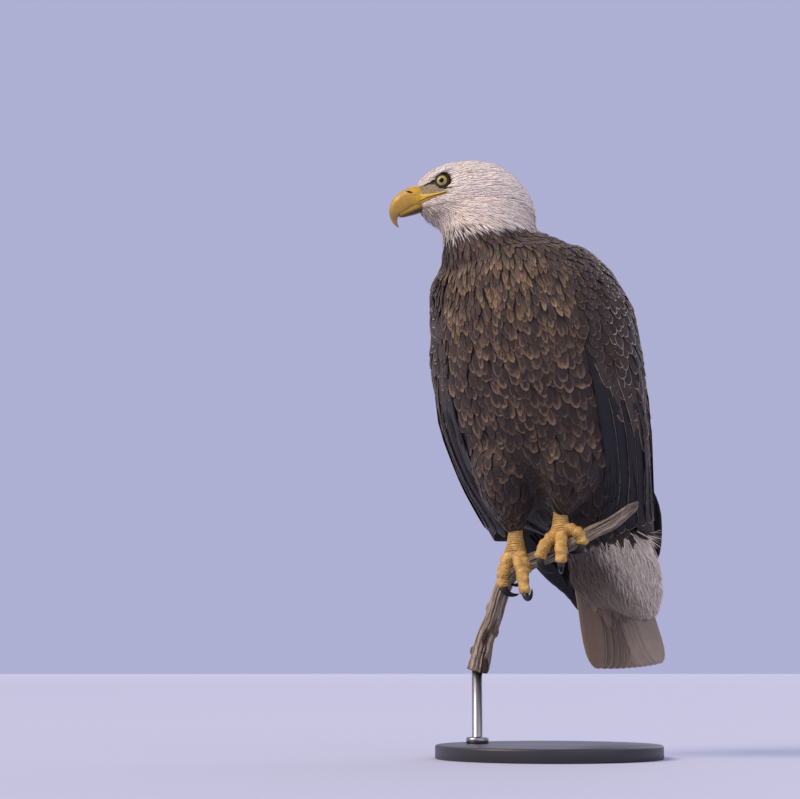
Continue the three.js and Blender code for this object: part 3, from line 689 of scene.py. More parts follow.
def markings(points, regions):
    # the colour of the plumage, and of the rims of its feathers, at each place on the body
    x, y, z = inHead(points).T
    white = smoothStep(-3, 3, aboveHackles(points))[:, None]
    wings = onNodes(regions, "wing_left", "wing_right")[:, None]
    vent = onNodes(regions, "vent")[:, None]
    brown = blended(colours["belly"], colours["brown"], smoothStep(235, 345, heightOf(points)))
    brown = np.where(wings, linear(colours["brown"]) * 0.95, brown)
    # two warm smudges over the ear
    smudges = (0.5 * np.exp(-((x + 33) / 6) ** 2 - ((z - 8) / 3) ** 2)
               + 0.4 * np.exp(-((x + 25) / 9) ** 2 - ((z - 6) / 1.2) ** 2))
    cream = blended(colours["cream"], colours["ear"], smudges)
    # the bare lore, the dark skin round the eye, and dark skin with painted shade under the brow
    sides = smoothStep(7, 11, np.abs(y))
    underBrow = z - browAt("z", x)
    below = smoothStep(0.8, -0.8, underBrow) * smoothStep(-20, -13, x) * smoothStep(38, 33, x)
    lore = below * smoothStep(-1, 3, z - np.interp(x, mouthX, mouthZ)) * sides * smoothStep(-9, 2, x)
    cream = over(cream, colours["lore"], lore)
    fromEye = np.hypot(x - head["eye"][0], z - head["eye"][2])
    ring = smoothStep(1, -0.4, fromEye - 11.6 - 2.6 * smoothStep(0, -9, x))
    underBrowSkinAndShade = below * smoothStep(-1.2, 1.0, underBrow + browAt("deep", x))
    cream = over(cream, colours["darkSkin"], np.maximum(ring, underBrowSkinAndShade * 0.94) * sides)
    # the chin painted in shade, and a painted shadow line in the fold of skin along the jaw
    chin = smoothStep(8, 24, x) * smoothStep(-32, -38, z) * smoothStep(-60, -44, z)
    cream = over(cream, colours["tailShade"], chin * 0.6)
    creaseShade = np.exp(-((z - np.interp(x, [-4, 15, 30], [-33.5, -37.5, -39])) / 1.3) ** 2)
    creaseShade = 0.75 * creaseShade * smoothStep(-9, 2, x) * smoothStep(34, 28, x) * sides
    cream = over(cream, colours["ventShade"], creaseShade)

    def whole(dark):
        return np.where(vent, linear(colours["fluff"]), dark * (1 - white) + cream * white)

    return whole(brown), whole(np.where(wings, linear(colours["wingEdge"]), linear(colours["edge"])))


makeSkin()
print("the skin is made")


def unwrapOf(chosen):
    # some of the skin's faces laid flat, as corner places for each face
    quads = shellQuads[chosen]
    used, renumbered = np.unique(quads, return_inverse=True)
    mesh = bpy.data.meshes.new("unwrap")
    mesh.from_pydata((shellPoints[used] * mm).tolist(), [], renumbered.reshape(-1, 4).tolist())
    sheet = bpy.data.objects.new("unwrap", mesh)
    scene.collection.objects.link(sheet)
    bpy.context.view_layer.objects.active = sheet
    sheet.select_set(True)
    bpy.ops.object.mode_set(mode="EDIT")
    bpy.ops.mesh.select_all(action="SELECT")
    bpy.ops.uv.smart_project(angle_limit=1.1, island_margin=0.004)
    bpy.ops.object.mode_set(mode="OBJECT")
    flat = numbersOf(mesh.uv_layers.active.data, "uv", 2).reshape(-1, 4, 2)
    bpy.data.objects.remove(sheet)
    return treeOf(shellPoints, quads.tolist()), quads, flat


def rootPlaces(unwrap, roots):
    tree, quads, flat = unwrap
    face = np.array([tree.find_nearest(point)[2] for point in roots.tolist()])
    reach = np.linalg.norm(shellPoints[quads[face]] - roots[:, None], axis=2)
    weight = 1 / (reach ** 2 + 0.01)
    weight /= weight.sum(1, keepdims=True)
    return np.einsum("ij,ijk->ik", weight, flat[face])


def scattered(chosen, spacingOf, crowding=9):
    # well spaced random places on some of the shell's faces: those too near an earlier one are left out
    faces = np.flatnonzero(chosen)
    share = quadAreas[faces] / spacingOf(quadMiddles[faces], quadRegions[faces]) ** 2
    count = int(share.sum() * crowding)
    picked = faces[dice.choice(len(faces), count, p=share / share.sum())]
    s, t = dice.random((2, count, 1))
    a, b, c, d = (shellPoints[shellQuads[picked, i]] for i in range(4))
    points = (a * (1 - s) + b * s) * (1 - t) + (d * (1 - s) + c * s) * t
    regions = quadRegions[picked]
    gaps = spacingOf(points, regions)
    cells = np.floor(points / gaps.max()).astype(int)
    around = [(x, y, z) for x in (-1, 0, 1) for y in (-1, 0, 1) for z in (-1, 0, 1)]
    held, kept = {}, []
    for i, ((x, y, z), point, gap) in enumerate(zip(cells.tolist(), points.tolist(), gaps.tolist())):
        px, py, pz = point
        near = (other for dx, dy, dz in around for other in held.get((x + dx, y + dy, z + dz), ()))
        if any((a - px) ** 2 + (b - py) ** 2 + (c - pz) ** 2 < gap * gap for a, b, c in near):
            continue
        held.setdefault((x, y, z), []).append(point)
        kept.append(i)
    return points[kept], regions[kept]


# what a coat's feathers are like, unless it says otherwise. bend: how soon they dive to their roots;
# rise, uneven and mess: how their tips stand off; rag: torn edges; rim: width of the paler rim;
# readAt: the row whose place gives the colour
plainStyle = {
    "shape": "vane", "columns": 5, "bend": 2.6, "rise": 0.1, "uneven": 0.5, "mess": 0.3, "stray": 0.09,
    "rag": 0.12, "thick": 0.35, "camber": 0.09, "turn": 0.07, "rim": 3.0, "tipFrom": 0.4, "shade": 0.6,
    "vary": (0.82, 1.12), "readAt": 0,
}


def coat(name, slot, chosen, finish, spacingOf, sizeOf, depthOf, toneOf, **changes):
    # one piece of plumage over the chosen faces of the shell
    style = {**plainStyle, **changes}
    rows, widths = (np.array(values) for values in shapes[style["shape"]])
    roots, regions = scattered(chosen, spacingOf)
    count = len(roots)
    long, wide = sizeOf(roots, regions)
    long = long * dice.uniform(0.85, 1.15, count)
    wide = wide * dice.uniform(0.88, 1.1, count)
    line, ups, aheads = marched(roots, regions, long, rows, dice.normal(0, style["stray"], count))
    lifts = -depthOf(roots, regions)[:, None] * (1 - rows) ** style["bend"]
    lifts = lifts + style["rise"] * rows ** 2 - dice.random((count, 1)) * style["uneven"] * rows
    lifts = lifts + style["mess"] * dice.uniform(-0.4, 1, (count, 1)) * rows ** 3
    turns = dice.normal(0, style["turn"], count)
    points, vane = vaneMeshes(line, ups, aheads, rows, widths, long, wide, lifts, style["columns"],
                              style["camber"], style["thick"], style["rag"], turns)
    tint, rim = markings(line[:, style["readAt"]], regions)
    tint, rim, rimWide = toneOf(roots, regions, tint, rim, np.full(count, style["rim"]))
    brightness = dice.uniform(*style["vary"], (count, 1, 1, 1))
    along = (style["shade"] + (1 - style["shade"]) * smoothStep(0.1, 0.75, rows))[:, None, None]
    tints = tint[:, None, None] * brightness * along
    tipShare = smoothStep(style["tipFrom"], 1.0, rows)[:, None, None]
    rims = tints * (1 - tipShare) + rim[:, None, None] * brightness * tipShare
    uv = rootPlaces(unwrapOf(chosen), roots)
    return coatPiece(name, slot, points, vane, tints, rims, rimWide, uv, finish)


def oneOrMore(values):
    return values if len(values) > 1 else values[0]


def planned(plan, measure, *keys):
    # what a coat asks for at each place, read from its plan by a distance or height there
    return lambda points, regions: oneOrMore(
        [np.interp(measure(points), plan["at"], plan[key]) for key in keys])


def alike(*values):
    # the same numbers for every feather
    return lambda points, regions: oneOrMore([np.full(len(points), float(value)) for value in values])


# head and neck
faceCoat = {
    "at": [16, 40, 70, 110, 160],  # from the bill's root
    "spacing": [0.95, 1.35, 1.8, 2.2, 2.5], "long": [3.4, 7, 17, 27, 33],
    "wide": [0.52, 0.86, 1.35, 1.7, 1.8], "depth": [0.4, 0.7, 1.1, 1.7, 2.6],
    "socket": 10.9, "closeBehind": 1.5, "faceTo": 52, "chinShadeShare": 0.3,
}
quadLocal = inHead(quadMiddles)
quadX, quadSide, quadZ = quadLocal[:, 0], np.abs(quadLocal[:, 1]), quadLocal[:, 2]
fromEye = np.hypot(quadX - head["eye"][0], quadZ - head["eye"][2])
inSocket = fromEye < faceCoat["socket"] - faceCoat["closeBehind"] * smoothStep(0, -7, quadX)
inSocket &= quadSide > 12
onBill = (quadX > 34) & (quadZ > -34) & (quadSide < 14)
aboveMouth = quadZ - np.interp(quadX, mouthX, mouthZ)
onGape = aboveMouth < np.interp(quadX, mouthX, bill["gapeAbove"][::-1]) - 1
onGape &= -aboveMouth < np.interp(quadX, mouthX, bill["gapeBelow"][::-1]) - 1
onGape &= (quadX > mouthX[0]) & (quadX < mouthX[-1]) & (quadSide > 5)
hackleHeight = aboveHackles(quadMiddles)
whiteParts = hackleHeight > 0
onHeadNode = onNodes(quadRegions, "head")
headParts = whiteParts & onHeadNode & ~inSocket & ~onBill & ~onGape
faceParts = headParts & (fromBillRoot(quadMiddles) < faceCoat["faceTo"])
beardParts = whiteParts & (quadX > -16) & (quadX < 42) & (quadZ < -34) & (quadZ > -80)
beardParts &= (faceNormals @ headAxes.T)[:, 2] < 0.25
collarParts = (hackleHeight > -3) & (hackleHeight < 22) & ~onHeadNode


def creamTone(roots, regions, tint, rim, rimWide):
    # painted shade: some feathers are darker than others, in loose lines along the head and more so low on
    # it and behind, and some are dark at the chin
    x, y, z = inHead(roots).T
    turn = np.degrees(np.arctan2(z + 14, 52 - x))
    lines = np.sin(turn * 0.9 + 0.02 * x) * np.sin(turn * 0.37 + 1 + 0.03 * x)
    low = smoothStep(10, -50, z)
    behind = smoothStep(-10, -50, x)
    dull = 0.02 + 0.3 * low + (0.1 + 0.2 * behind) * lines + dice.normal(0, 0.06, len(roots))
    dull = np.clip(dull, 0, 0.85)[:, None]
    # painted shade: a share of the chin's feathers are painted darker
    chin = smoothStep(-12, 14, x) * smoothStep(-35, -46, z)
    tint = tint * (1 - 0.62 * chin * (dice.random(len(roots)) < faceCoat["chinShadeShare"]))[:, None]
    shade = linear(colours["creamShade"]) / linear(colours["cream"])
    return tint * (1 - dull) + tint * shade * dull, tint, rimWide


shortStyle = {"stray": 0.06, "thick": 0.14, "readAt": 2}
for coatName, part, changes in (
    ("face_plumage", faceParts, {**shortStyle, "uneven": 0.08, "mess": 0.05, "rise": 0.0}),
    ("crown_plumage", headParts & ~faceParts, {**shortStyle, "uneven": 0.1, "mess": 0.12}),
    ("neck_hackles", whiteParts & ~onHeadNode, {"stray": 0.08, "thick": 0.2, "uneven": 0.4, "mess": 0.8,
                                                "rise": 0.2}),
):
    coat(coatName, "white_feather", part, whiteVane, planned(faceCoat, fromBillRoot, "spacing"),
         planned(faceCoat, fromBillRoot, "long", "wide"), planned(faceCoat, fromBillRoot, "depth"),
         creamTone, shape="hackle", columns=3, bend=2.4, shade=0.92, rim=1.0, turn=0.03, vary=(0.95, 1.03),
         camber=0.03, **changes)

looseCoat = {
    # longer, looser white feathers: how far apart, how long, their half width, how deep their roots are,
    # and their other habits
    "throat_beard": (beardParts, 2.3, 20, 0.95, 1.5, {"mess": 3.6, "stray": 0.16, "rise": 1.0}),
    "collar_hackles": (collarParts, 3.9, 30, 1.45, 2.6, {"mess": 1.6, "stray": 0.11, "rise": 0.5}),
}
for coatName, (part, apart, long, wide, deep, changes) in looseCoat.items():
    coat(coatName, "white_feather", part, whiteVane, alike(apart), alike(long, wide), alike(deep), creamTone,
         shape="hackle", columns=3, shade=0.85, rim=1.0, uneven=0.5, thick=0.3, vary=(0.9, 1.06), **changes)

# breast, back and thighs
bodyCoat = {
    "at": [20, 120, 250, 330, 400, 440],  # above the grip
    "spacing": [7.6, 8.4, 8.2, 6.2, 4.7, 3.7], "long": [42, 42, 38, 36, 32, 27],
    "wide": [7.0, 7.6, 7.2, 5.0, 3.6, 2.6], "breastFrom": 300, "bellyTo": 180,
}


def brownTone(roots, regions, tint, rim, rimWide):
    # the upper breast has golden feather ends in loose clusters; lower down only the rims are tan
    x, y, z = (roots - grip).T
    count = len(roots)
    chance = dice.random(count)
    clusters = 0.5 + 0.5 * np.sin(x / 9 + z / 23) * np.sin(z / 13 - x / 31 + 1) + dice.normal(0, 0.25, count)
    upper = smoothStep(262, 335, z) * smoothStep(425, 385, z)
    strong = (upper * (0.3 + 0.7 * smoothStep(40, -20, y)) * smoothStep(0.35, 0.85, clusters))[:, None]
    gold = blended(colours["golden"], colours["pale"], chance) * dice.uniform(0.45, 1.15, (count, 1))
    faint = dice.uniform(0.12, 1.25, (count, 1)) * (1 - 0.45 * smoothStep(380, 420, z)[:, None])
    low = smoothStep(250, 60, z)[:, None]
    made = tint + (rim - tint) * faint * (1 - 0.7 * low)
    wide = rimWide * dice.uniform(0.4, 1.5, count) + 3.0 * strong[:, 0]
    return tint * (1 - 0.5 * low), made * (1 - strong) + gold * strong, wide


# the front edge of a folded wing, by height above the grip, as an angle round the body from the breast; the
# left wing (1) and the right one (-1) are then laid a few degrees further forward
wingFront = {
    "at": [20, 70, 100, 145, 190, 245, 300, 330, 400], "angle": [66, 63, 62, 60, 56, 58, 56, 57, 60],
    "forward": {1: 12, -1: 10}, "shoulderTo": 425, "hiddenFrom": 70,
}
axisLine = {"top": (-30, -34, 424), "low": (9, 98, 22)}


def axisAt(height):
    top, low = np.array(axisLine["top"]), np.array(axisLine["low"])
    t = (np.asarray(height)[..., None] - low[2]) / (top[2] - low[2])
    return low[:2] + (top[:2] - low[:2]) * t


fromAxis = quadMiddles[:, :2] - grip[:2] - axisAt(quadHeights)
quadAngles = np.degrees(np.arctan2(np.abs(fromAxis[:, 0]), -fromAxis[:, 1]))
quadAngles += np.where(fromAxis[:, 0] > 0, wingFront["forward"][1], wingFront["forward"][-1])
besideWing = quadAngles - np.interp(quadHeights, wingFront["at"], wingFront["angle"])
onTrunk = onNodes(quadRegions, "trunk")
aboveBreast = quadHeights > bodyCoat["breastFrom"]
shoulder = (besideWing > 0) & aboveBreast & (quadHeights < wingFront["shoulderTo"]) & ~whiteParts & onTrunk
hidden = (besideWing > -3) & (quadHeights < bodyCoat["breastFrom"]) & (quadHeights > wingFront["hiddenFrom"])
bodyQuads = onNodes(quadRegions, "head", "neck", "trunk", "thigh_left", "thigh_right")
bodyQuads &= ~whiteParts & ~hidden & ~shoulder
belly = quadHeights <= bodyCoat["bellyTo"]
for bodyName, bodyPart, changes in (
    ("breast_hackles", aboveBreast, {"shape": "lance", "rim": 3.2, "stray": 0.13, "mess": 0.7, "readAt": 4}),
    ("breast_plumage", ~aboveBreast & ~belly, {"rim": 5.0}),
    ("belly_plumage", belly, {"rim": 5.0, "stray": 0.12}),
):
    coat(bodyName, "brown_feather", bodyQuads & bodyPart, brownVane, planned(bodyCoat, heightOf, "spacing"),
         planned(bodyCoat, heightOf, "long", "wide"), skinDepthAt, brownTone, rag=0.2, **changes)

# the white fluff under the tail's root
fluffCoat = {"spacing": 2.5, "long": 44, "wide": 1.25, "above": 15, "top": 34}


def fluffSize(points, regions):
    long = fluffCoat["long"] * (0.4 + 0.6 * smoothStep(-95, -30, heightOf(points)))
    return long, np.full(len(points), fluffCoat["wide"])


def fluffTone(roots, regions, tint, rim, rimWide):
    # white at its outer side, with painted shade where it faces the legs
    across = roots[:, 0] + 0.55 * heightOf(roots)
    outer = (smoothStep(46, 90, across) * dice.uniform(0.8, 1.1, len(roots))).clip(0, 1)
    shadedSide = blended(colours["ventShade"], colours["tail"], smoothStep(10, -60, heightOf(roots)))
    made = over(shadedSide, colours["fluff"], outer)
    return made, made, rimWide


ventQuads = onNodes(quadRegions, "vent")
ventTree = treeOf(shellPoints, shellQuads[ventQuads].tolist())
toVent = np.array([ventTree.find_nearest(point)[3] for point in quadMiddles.tolist()])
fluffy = onTrunk & (toVent < fluffCoat["above"]) & (quadHeights < fluffCoat["top"]) | ventQuads
coat("vent_plumage", "white_feather", fluffy, whiteVane, alike(fluffCoat["spacing"]), fluffSize, skinDepthAt,
     fluffTone, shape="hackle", columns=3, bend=1.6, rise=1.5, uneven=0.9, mess=2.6, stray=0.2, rag=0.25,
     shade=0.8, thick=0.22, camber=0.04)

# wings: small coverts by scatter, then the long feathers in ranks
wing = {
    "at": [60, 200, 250, 300, 350, 400, 430],  # above the grip
    "spacing": [12, 10.5, 10, 9, 7, 5.4, 5], "long": [60, 52, 44, 36, 27, 20, 16],
    "wide": [8.4, 7.8, 7.6, 7, 5.6, 4.2, 3.8],
    # how low the small coverts reach, and the greater ones, by the angle round the body
    "smallAngle": [54, 62, 72, 84, 112, 165], "smallLow": [268, 238, 202, 168, 140, 152],
    "greatAngle": [60, 66, 73, 82, 92, 162], "greatLow": [258, 222, 178, 150, 120, 130],
    "outer": 8, "outerWide": 11.5, "inner": 17, "innerWide": 13.5, "great": 16, "greatWide": 9.5,
}


def wingSpot(side, angle, height):
    # a place on the shell at an angle in degrees round the body from the breast, and a height above the grip
    turn = math.radians(angle)
    out = Vector((side * math.sin(turn), -math.cos(turn), 0))
    centre = Vector((*axisAt(height), height)) + Vector(grip)
    hit, _, index, _ = shellBvh.ray_cast(centre + out * 320, -out)
    if hit is None or (hit - centre) @ out < 25:
        return None
    return np.array(hit), faceNormals[index]


def wingPath(side, start, end, count=26):
    # a line down the wing between two (angle, height) places, running straight on past the wing's lower edge
    line, ups, reach = [], [], 1e9
    for t in np.linspace(0, 1, count):
        angle, height = (start[i] + (end[i] - start[i]) * t for i in (0, 1))
        spot = wingSpot(side, angle - wingFront["forward"][side], height)
        if spot is None or line and np.linalg.norm(spot[0] - line[-1]) > 2.2 * reach:
            spot = 2 * line[-1] - line[-2], ups[-1]
        line.append(spot[0])
        ups.append(spot[1])
        if len(line) > 1:
            reach = np.linalg.norm(line[-1] - line[-2])
    return np.array(line), np.array(ups)


def evened(values, rounds=3):
    for _ in range(rounds):
        values = values.copy()
        values[:, 1:-1] = (values[:, :-2] + values[:, 1:-1] * 2 + values[:, 2:]) / 4
    return values


# what the long feathers of a rank are like, unless it says otherwise. dull: how much darker their roots are,
# as painted shade where they lie under others; drop: how far the roots dive; skew: how far the shaft lies
# off the middle
plainRank = {"lift": 0, "tilt": 0, "rimWide": 0.9, "camber": 0.07, "thick": 0.6, "skew": 0.12, "dull": 0.45,
             "drop": 3.0}


def rank(name, slot, finish, paths, wide, tint, rim, **changes):
    # long feathers laid along given paths, each a line of places and which way is up at each
    style = {**plainRank, **changes}
    rows, widths = (np.array(values) for values in shapes["blade"])
    lines, ups = (evened(np.array(values)) for values in zip(*paths))
    both = np.concatenate([lines, unit(ups)], 2)
    count = len(lines)
    spans = np.linalg.norm(np.diff(lines, axis=1), axis=2)
    longs = spans.sum(1)
    laid = np.empty((count, len(rows), 6))
    for i, k in np.ndindex(count, 6):
        walked = np.concatenate([[0], np.cumsum(spans[i])]) / longs[i]
        laid[i, :, k] = np.interp(rows, walked, both[i, :, k])
    made = laid[..., :3].copy()
    aheads = unit(np.gradient(made, axis=1))
    madeUps = onSurface(laid[..., 3:].reshape(-1, 3), aheads.reshape(-1, 3)).reshape(made.shape)
    lifts, tilts, wide = (np.broadcast_to(np.asarray(values, float), count)
                          for values in (style["lift"], style["tilt"], wide))
    lifts = lifts[:, None] - style["drop"] * (1 - smoothStep(0, 0.35, rows))
    points, vane = vaneMeshes(made, madeUps, aheads, rows, widths, longs, wide, lifts, 7, style["camber"],
                              style["thick"], 0.03, tilts + dice.normal(0, 0.012, count), style["skew"])
    brightness = dice.uniform(0.86, 1.1, (count, 1, 1, 1))
    shades = np.broadcast_to(tint, (count, 3))[:, None, None] * brightness
    # painted shade towards the roots
    shades = shades * (1 - style["dull"] * (1 - rows))[:, None, None]
    return coatPiece(name, slot, points, vane, shades, rim, np.full(count, style["rimWide"]),
                     rootPlaces(rankUnwrap, made[:, 3]), finish)


rankUnwrap = unwrapOf(onNodes(quadRegions, "wing_left", "wing_right", "vent", "trunk"))


def covertTone(roots, regions, tint, rim, rimWide):
    dark = smoothStep(0.55, 1.0, dice.random(len(roots)))[:, None]
    rimShare = (0.7 + 0.3 * dice.random(len(roots)))[:, None]
    made = tint * (1 - 0.35 * dark)
    return made, rim * rimShare + made * (1 - rimShare), rimWide


def makeWing(side, sideName):
    black, brown, edge = (linear(colours[name]) for name in ("black", "brown", "wingEdge"))
    brown = brown * 0.8
    # the outer flight feathers, folded low along the leading edge
    share = np.linspace(0, 1, wing["outer"])
    paths = [wingPath(side, (60 + 12 * t, 300 - 56 * t), (66 + 18 * t, 22 + 63 * t)) for t in share]
    rank("outer_flights_" + sideName, "dark_feather", darkVane, paths, wing["outerWide"], black,
         linear(colours["outerEdge"]), tilt=side * 0.07, lift=1 - 0.8 * share, rimWide=0.7)
    # the inner flight feathers, which overlap like tiles towards the back
    share = np.linspace(0, 1, wing["inner"])
    low = 34 + 30 * np.sin(share * math.pi) - 16 * share
    paths = [wingPath(side, (68 + 94 * t, 262 - 14 * t), (78 + 86 * t, end)) for t, end in zip(share, low)]
    # the front inner flights are near-black: their own dark colour with painted shade where the wing meets
    # the body
    brownShare = smoothStep(0.12, 0.55, share)[:, None]
    rank("inner_flights_" + sideName, "dark_feather", darkVane, paths, wing["innerWide"],
         black * (1 - brownShare) + brown * brownShare, edge * 0.7, tilt=side * 0.1,
         lift=np.interp(share, [0, 0.3125, 1], [1.0, -0.6, -1]), rimWide=1.1)
    # the greater coverts in one rank over the roots of the flights, shortest at the front
    share = np.linspace(0, 1, wing["great"])
    paths = []
    for t in share:
        angle = 66 + 96 * t
        low = np.interp(angle, wing["greatAngle"], wing["greatLow"]) + dice.uniform(-5, 5)
        high = min(325, low + 40 + 90 * smoothStep(0, 0.25, t))
        paths.append(wingPath(side, (angle - 4, high), (angle + 2, low), 22))
    rank("greater_coverts_" + sideName, "brown_feather", brownVane, paths, wing["greatWide"], brown * 1.6,
         edge, tilt=side * 0.1, lift=np.interp(share, [0, 1 / 3, 1], [0.6, 0.2, 0]), rimWide=1.3, dull=0.3)
    # the small coverts, over the wing above them and over the trunk at the wing's front edge and shoulder
    low = np.interp(quadAngles, wing["smallAngle"], wing["smallLow"])
    ownSide = fromAxis[:, 0] * side > 0
    front = onTrunk & (besideWing > 1) & ~aboveBreast & ownSide
    small = (onNodes(quadRegions, "wing_" + sideName) | front) & (quadHeights > low) | shoulder & ownSide
    coat("wing_coverts_" + sideName, "brown_feather", small, brownVane, planned(wing, heightOf, "spacing"),
         planned(wing, heightOf, "long", "wide"), skinDepthAt, covertTone, rim=1.7, tipFrom=0.15, rag=0.06,
         stray=0.07, mess=0.2, bend=2.2, rise=1.0)


makeWing(1, "left")
makeWing(-1, "right")

# the long tips that lie on the tail, and the tail
tips = {
    "right": [(-84, 112, 96), (-62, 130, 44), (-32, 148, -6), (-10, 164, -46), (4, 182, -92)],
    "left": [(92, 110, 96), (96, 128, 46), (95, 142, 14), (80, 160, -18), (68, 178, -56)],
    # how many there are, how far they fan out, how much shorter each is than the next and how high that lies
    "count": 6, "spread": 24, "wide": 13, "shorter": 0.07, "stack": 1.1,
}


def makeTips(side, sideName):
    along = np.linspace(0, 1, 24)
    paths = []
    for i in range(tips["count"]):
        share = i / (tips["count"] - 1)
        reach = 1 - tips["shorter"] * (tips["count"] - 1 - i)
        middle = through(np.array(tips[sideName], float) + grip, along * reach)
        ahead = unit(np.gradient(middle, axis=0))
        out = onSurface(np.broadcast_to([1.0, 0, 0], middle.shape), ahead)
        up = np.cross(ahead, out)
        up *= np.sign(up[:, 1:2])
        fan = tips["spread"] * (1 - 0.75 * along)[:, None]
        paths.append((middle + out * fan * (1 - 2 * share) * side + up * (tips["stack"] * i - 2.5), up))
    piece = rank("primary_feathers_" + sideName, "dark_feather", darkVane, paths, tips["wide"],
                 linear(colours["black"]), linear(colours["tipEdge"]), rimWide=0.6, drop=7.0)
    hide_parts("primaries_" + sideName)


makeTips(1, "left")
makeTips(-1, "right")

tail = {"base": (34, 98, 74), "tip": (56, 212, -148), "count": 12, "wide": 17.5, "baseSpread": 14,
        "tipSpread": 45, "arch": 9, "coverts": 34}


def makeTail():
    base, tip = np.array(tail["base"]) + grip, np.array(tail["tip"]) + grip
    ahead = unit(tip - base)
    out = unit(np.array([1.0, 0, 0]) - ahead * ahead[0])
    back = np.cross(out, ahead)
    along = np.linspace(0, 1, 20)[:, None]
    paths = []
    for x in np.linspace(-1, 1, tail["count"]):
        spread = tail["baseSpread"] * (1 - along) + tail["tipSpread"] * along ** 0.8
        arch = tail["arch"] * (1 - x * x) - 4 - 3 * abs(x)
        line = base + (tip - base) * along * (1 - 0.035 * x * x) + out * spread * x + back * arch
        paths.append((line, np.broadcast_to(unit(back + out * x * 0.12), line.shape)))
    # painted shade: the tail feathers on one side are darker, as in shade
    shades = blended(colours["tailShade"], colours["tail"], smoothStep(3, 11, np.arange(tail["count"])))
    feathers = rank("tail_feathers", "tail_feather", tailVane, paths, tail["wide"], shades,
                    linear(colours["tailEdge"]), camber=0.05, drop=0, dull=0.25)
    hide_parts("tail")
    # soft coverts lie over the roots of the tail on its underside, longest in the middle, coloured dusky as
    # painted shade
    paths = []
    for i in range(tail["coverts"]):
        x = 2 * (i * 0.618 % 1) - 1
        end = 0.74 - 0.2 * x * x - 0.16 * dice.random()
        reach = 0.16 + (end - 0.16) * along
        spread = tail["baseSpread"] + (tail["tipSpread"] - 6) * reach ** 0.8 + 12 * (1 - reach)
        line = base + (tip - base) * reach + out * spread * x - back * (8.5 + 2.2 * dice.random())
        paths.append((line, np.broadcast_to(unit(-back + out * x * 0.2), line.shape)))
    shades = blended(colours["ventShade"], colours["tailShade"], dice.random(tail["coverts"]))
    rank("undertail_coverts", "tail_feather", tailVane, paths, tail["wide"] * 0.45, shades,
         linear(colours["tailShade"]), camber=0.05, drop=2.0, dull=0.3)


makeTail()
print("the long feathers are laid")


# bill
def sectionOf(half, around):
    # a closed outline from its left half, top to bottom, mirrored
    half = through(half, np.linspace(0, 1, around // 2 + 1))
    return np.concatenate([half, half[-2:0:-1] * [-1, 1]])


def billRings(rows, section, count):
    # rings along the bill, closer together at both ends
    even = np.linspace(0, 1, count)
    t = 0.5 * even + 0.25 * (1 - np.cos(np.pi * even))
    s = through(rows, t)
    slope = np.gradient(s[:, :2], t, axis=0)
    angle = np.arctan2(slope[:, 1], slope[:, 0])[:, None]
    opening = roundedEnds(t, 14, 0.0009)[:, None]
    side = opening * s[:, 2:3] * section[:, 0]
    lift = opening * s[:, 3:4] * section[:, 1]
    return np.stack([s[:, :1] - lift * np.sin(angle), side, s[:, 1:2] + lift * np.cos(angle)], -1)


def hornFinish():
    # waxy keratin: satin, duller at its worn pits, with faint growth lines across it
    material, tree, shader, local, tint = newFinish("bill_keratin", ("local", "tint"), Roughness=0.34)
    place = {"Vector": local.outputs["Vector"]}
    mottle = addNode(tree, "TexNoise", {"Scale": 0.16, "Detail": 4.0, "Roughness": 0.6}, place)
    lines = addNode(tree, "TexWave", {"wave_type": "RINGS", "rings_direction": "Y", "Scale": 0.11,
                                      "Distortion": 1.2, "Detail": 2.0, "Detail Scale": 1.0}, place)
    pits = addNode(tree, "TexNoise", {"Scale": 1.3, "Detail": 3.0}, place)
    shade = addNode(tree, "MapRange", span(0.3, 0.72, 0.8, 1.12), {"Value": mottle})
    shaded = addNode(tree, "VectorMath", {"operation": "SCALE"}, {0: tint, "Scale": shade})
    shine = addNode(tree, "Math", {"operation": "MULTIPLY", 1: 0.42}, {0: tint.outputs["Alpha"]})
    gloss = addNode(tree, "MapRange", span(0.3, 0.7, 0.28, 0.5), {"Value": pits})
    both = addNode(tree, "Math", {"operation": "MULTIPLY_ADD", 1: 0.5}, {0: lines.outputs["Fac"], 2: pits})
    wired(tree, shader, both, 0.14, 0.0005, Base_Color=shaded, Specular_IOR_Level=shine, Roughness=gloss)
    return material


hornSkin = hornFinish()


def headPiece(name, rings, tint, *nodes, gloss=1.0):
    # a closed tube of horn or bare skin, from rings on the head
    piece = tubePiece(name, onHead(rings), hornSkin)
    addValues(piece, "local", rings, "FLOAT_VECTOR")
    addColour(piece, "tint", tint, gloss)
    return placed(piece, "bill_horn", *nodes)


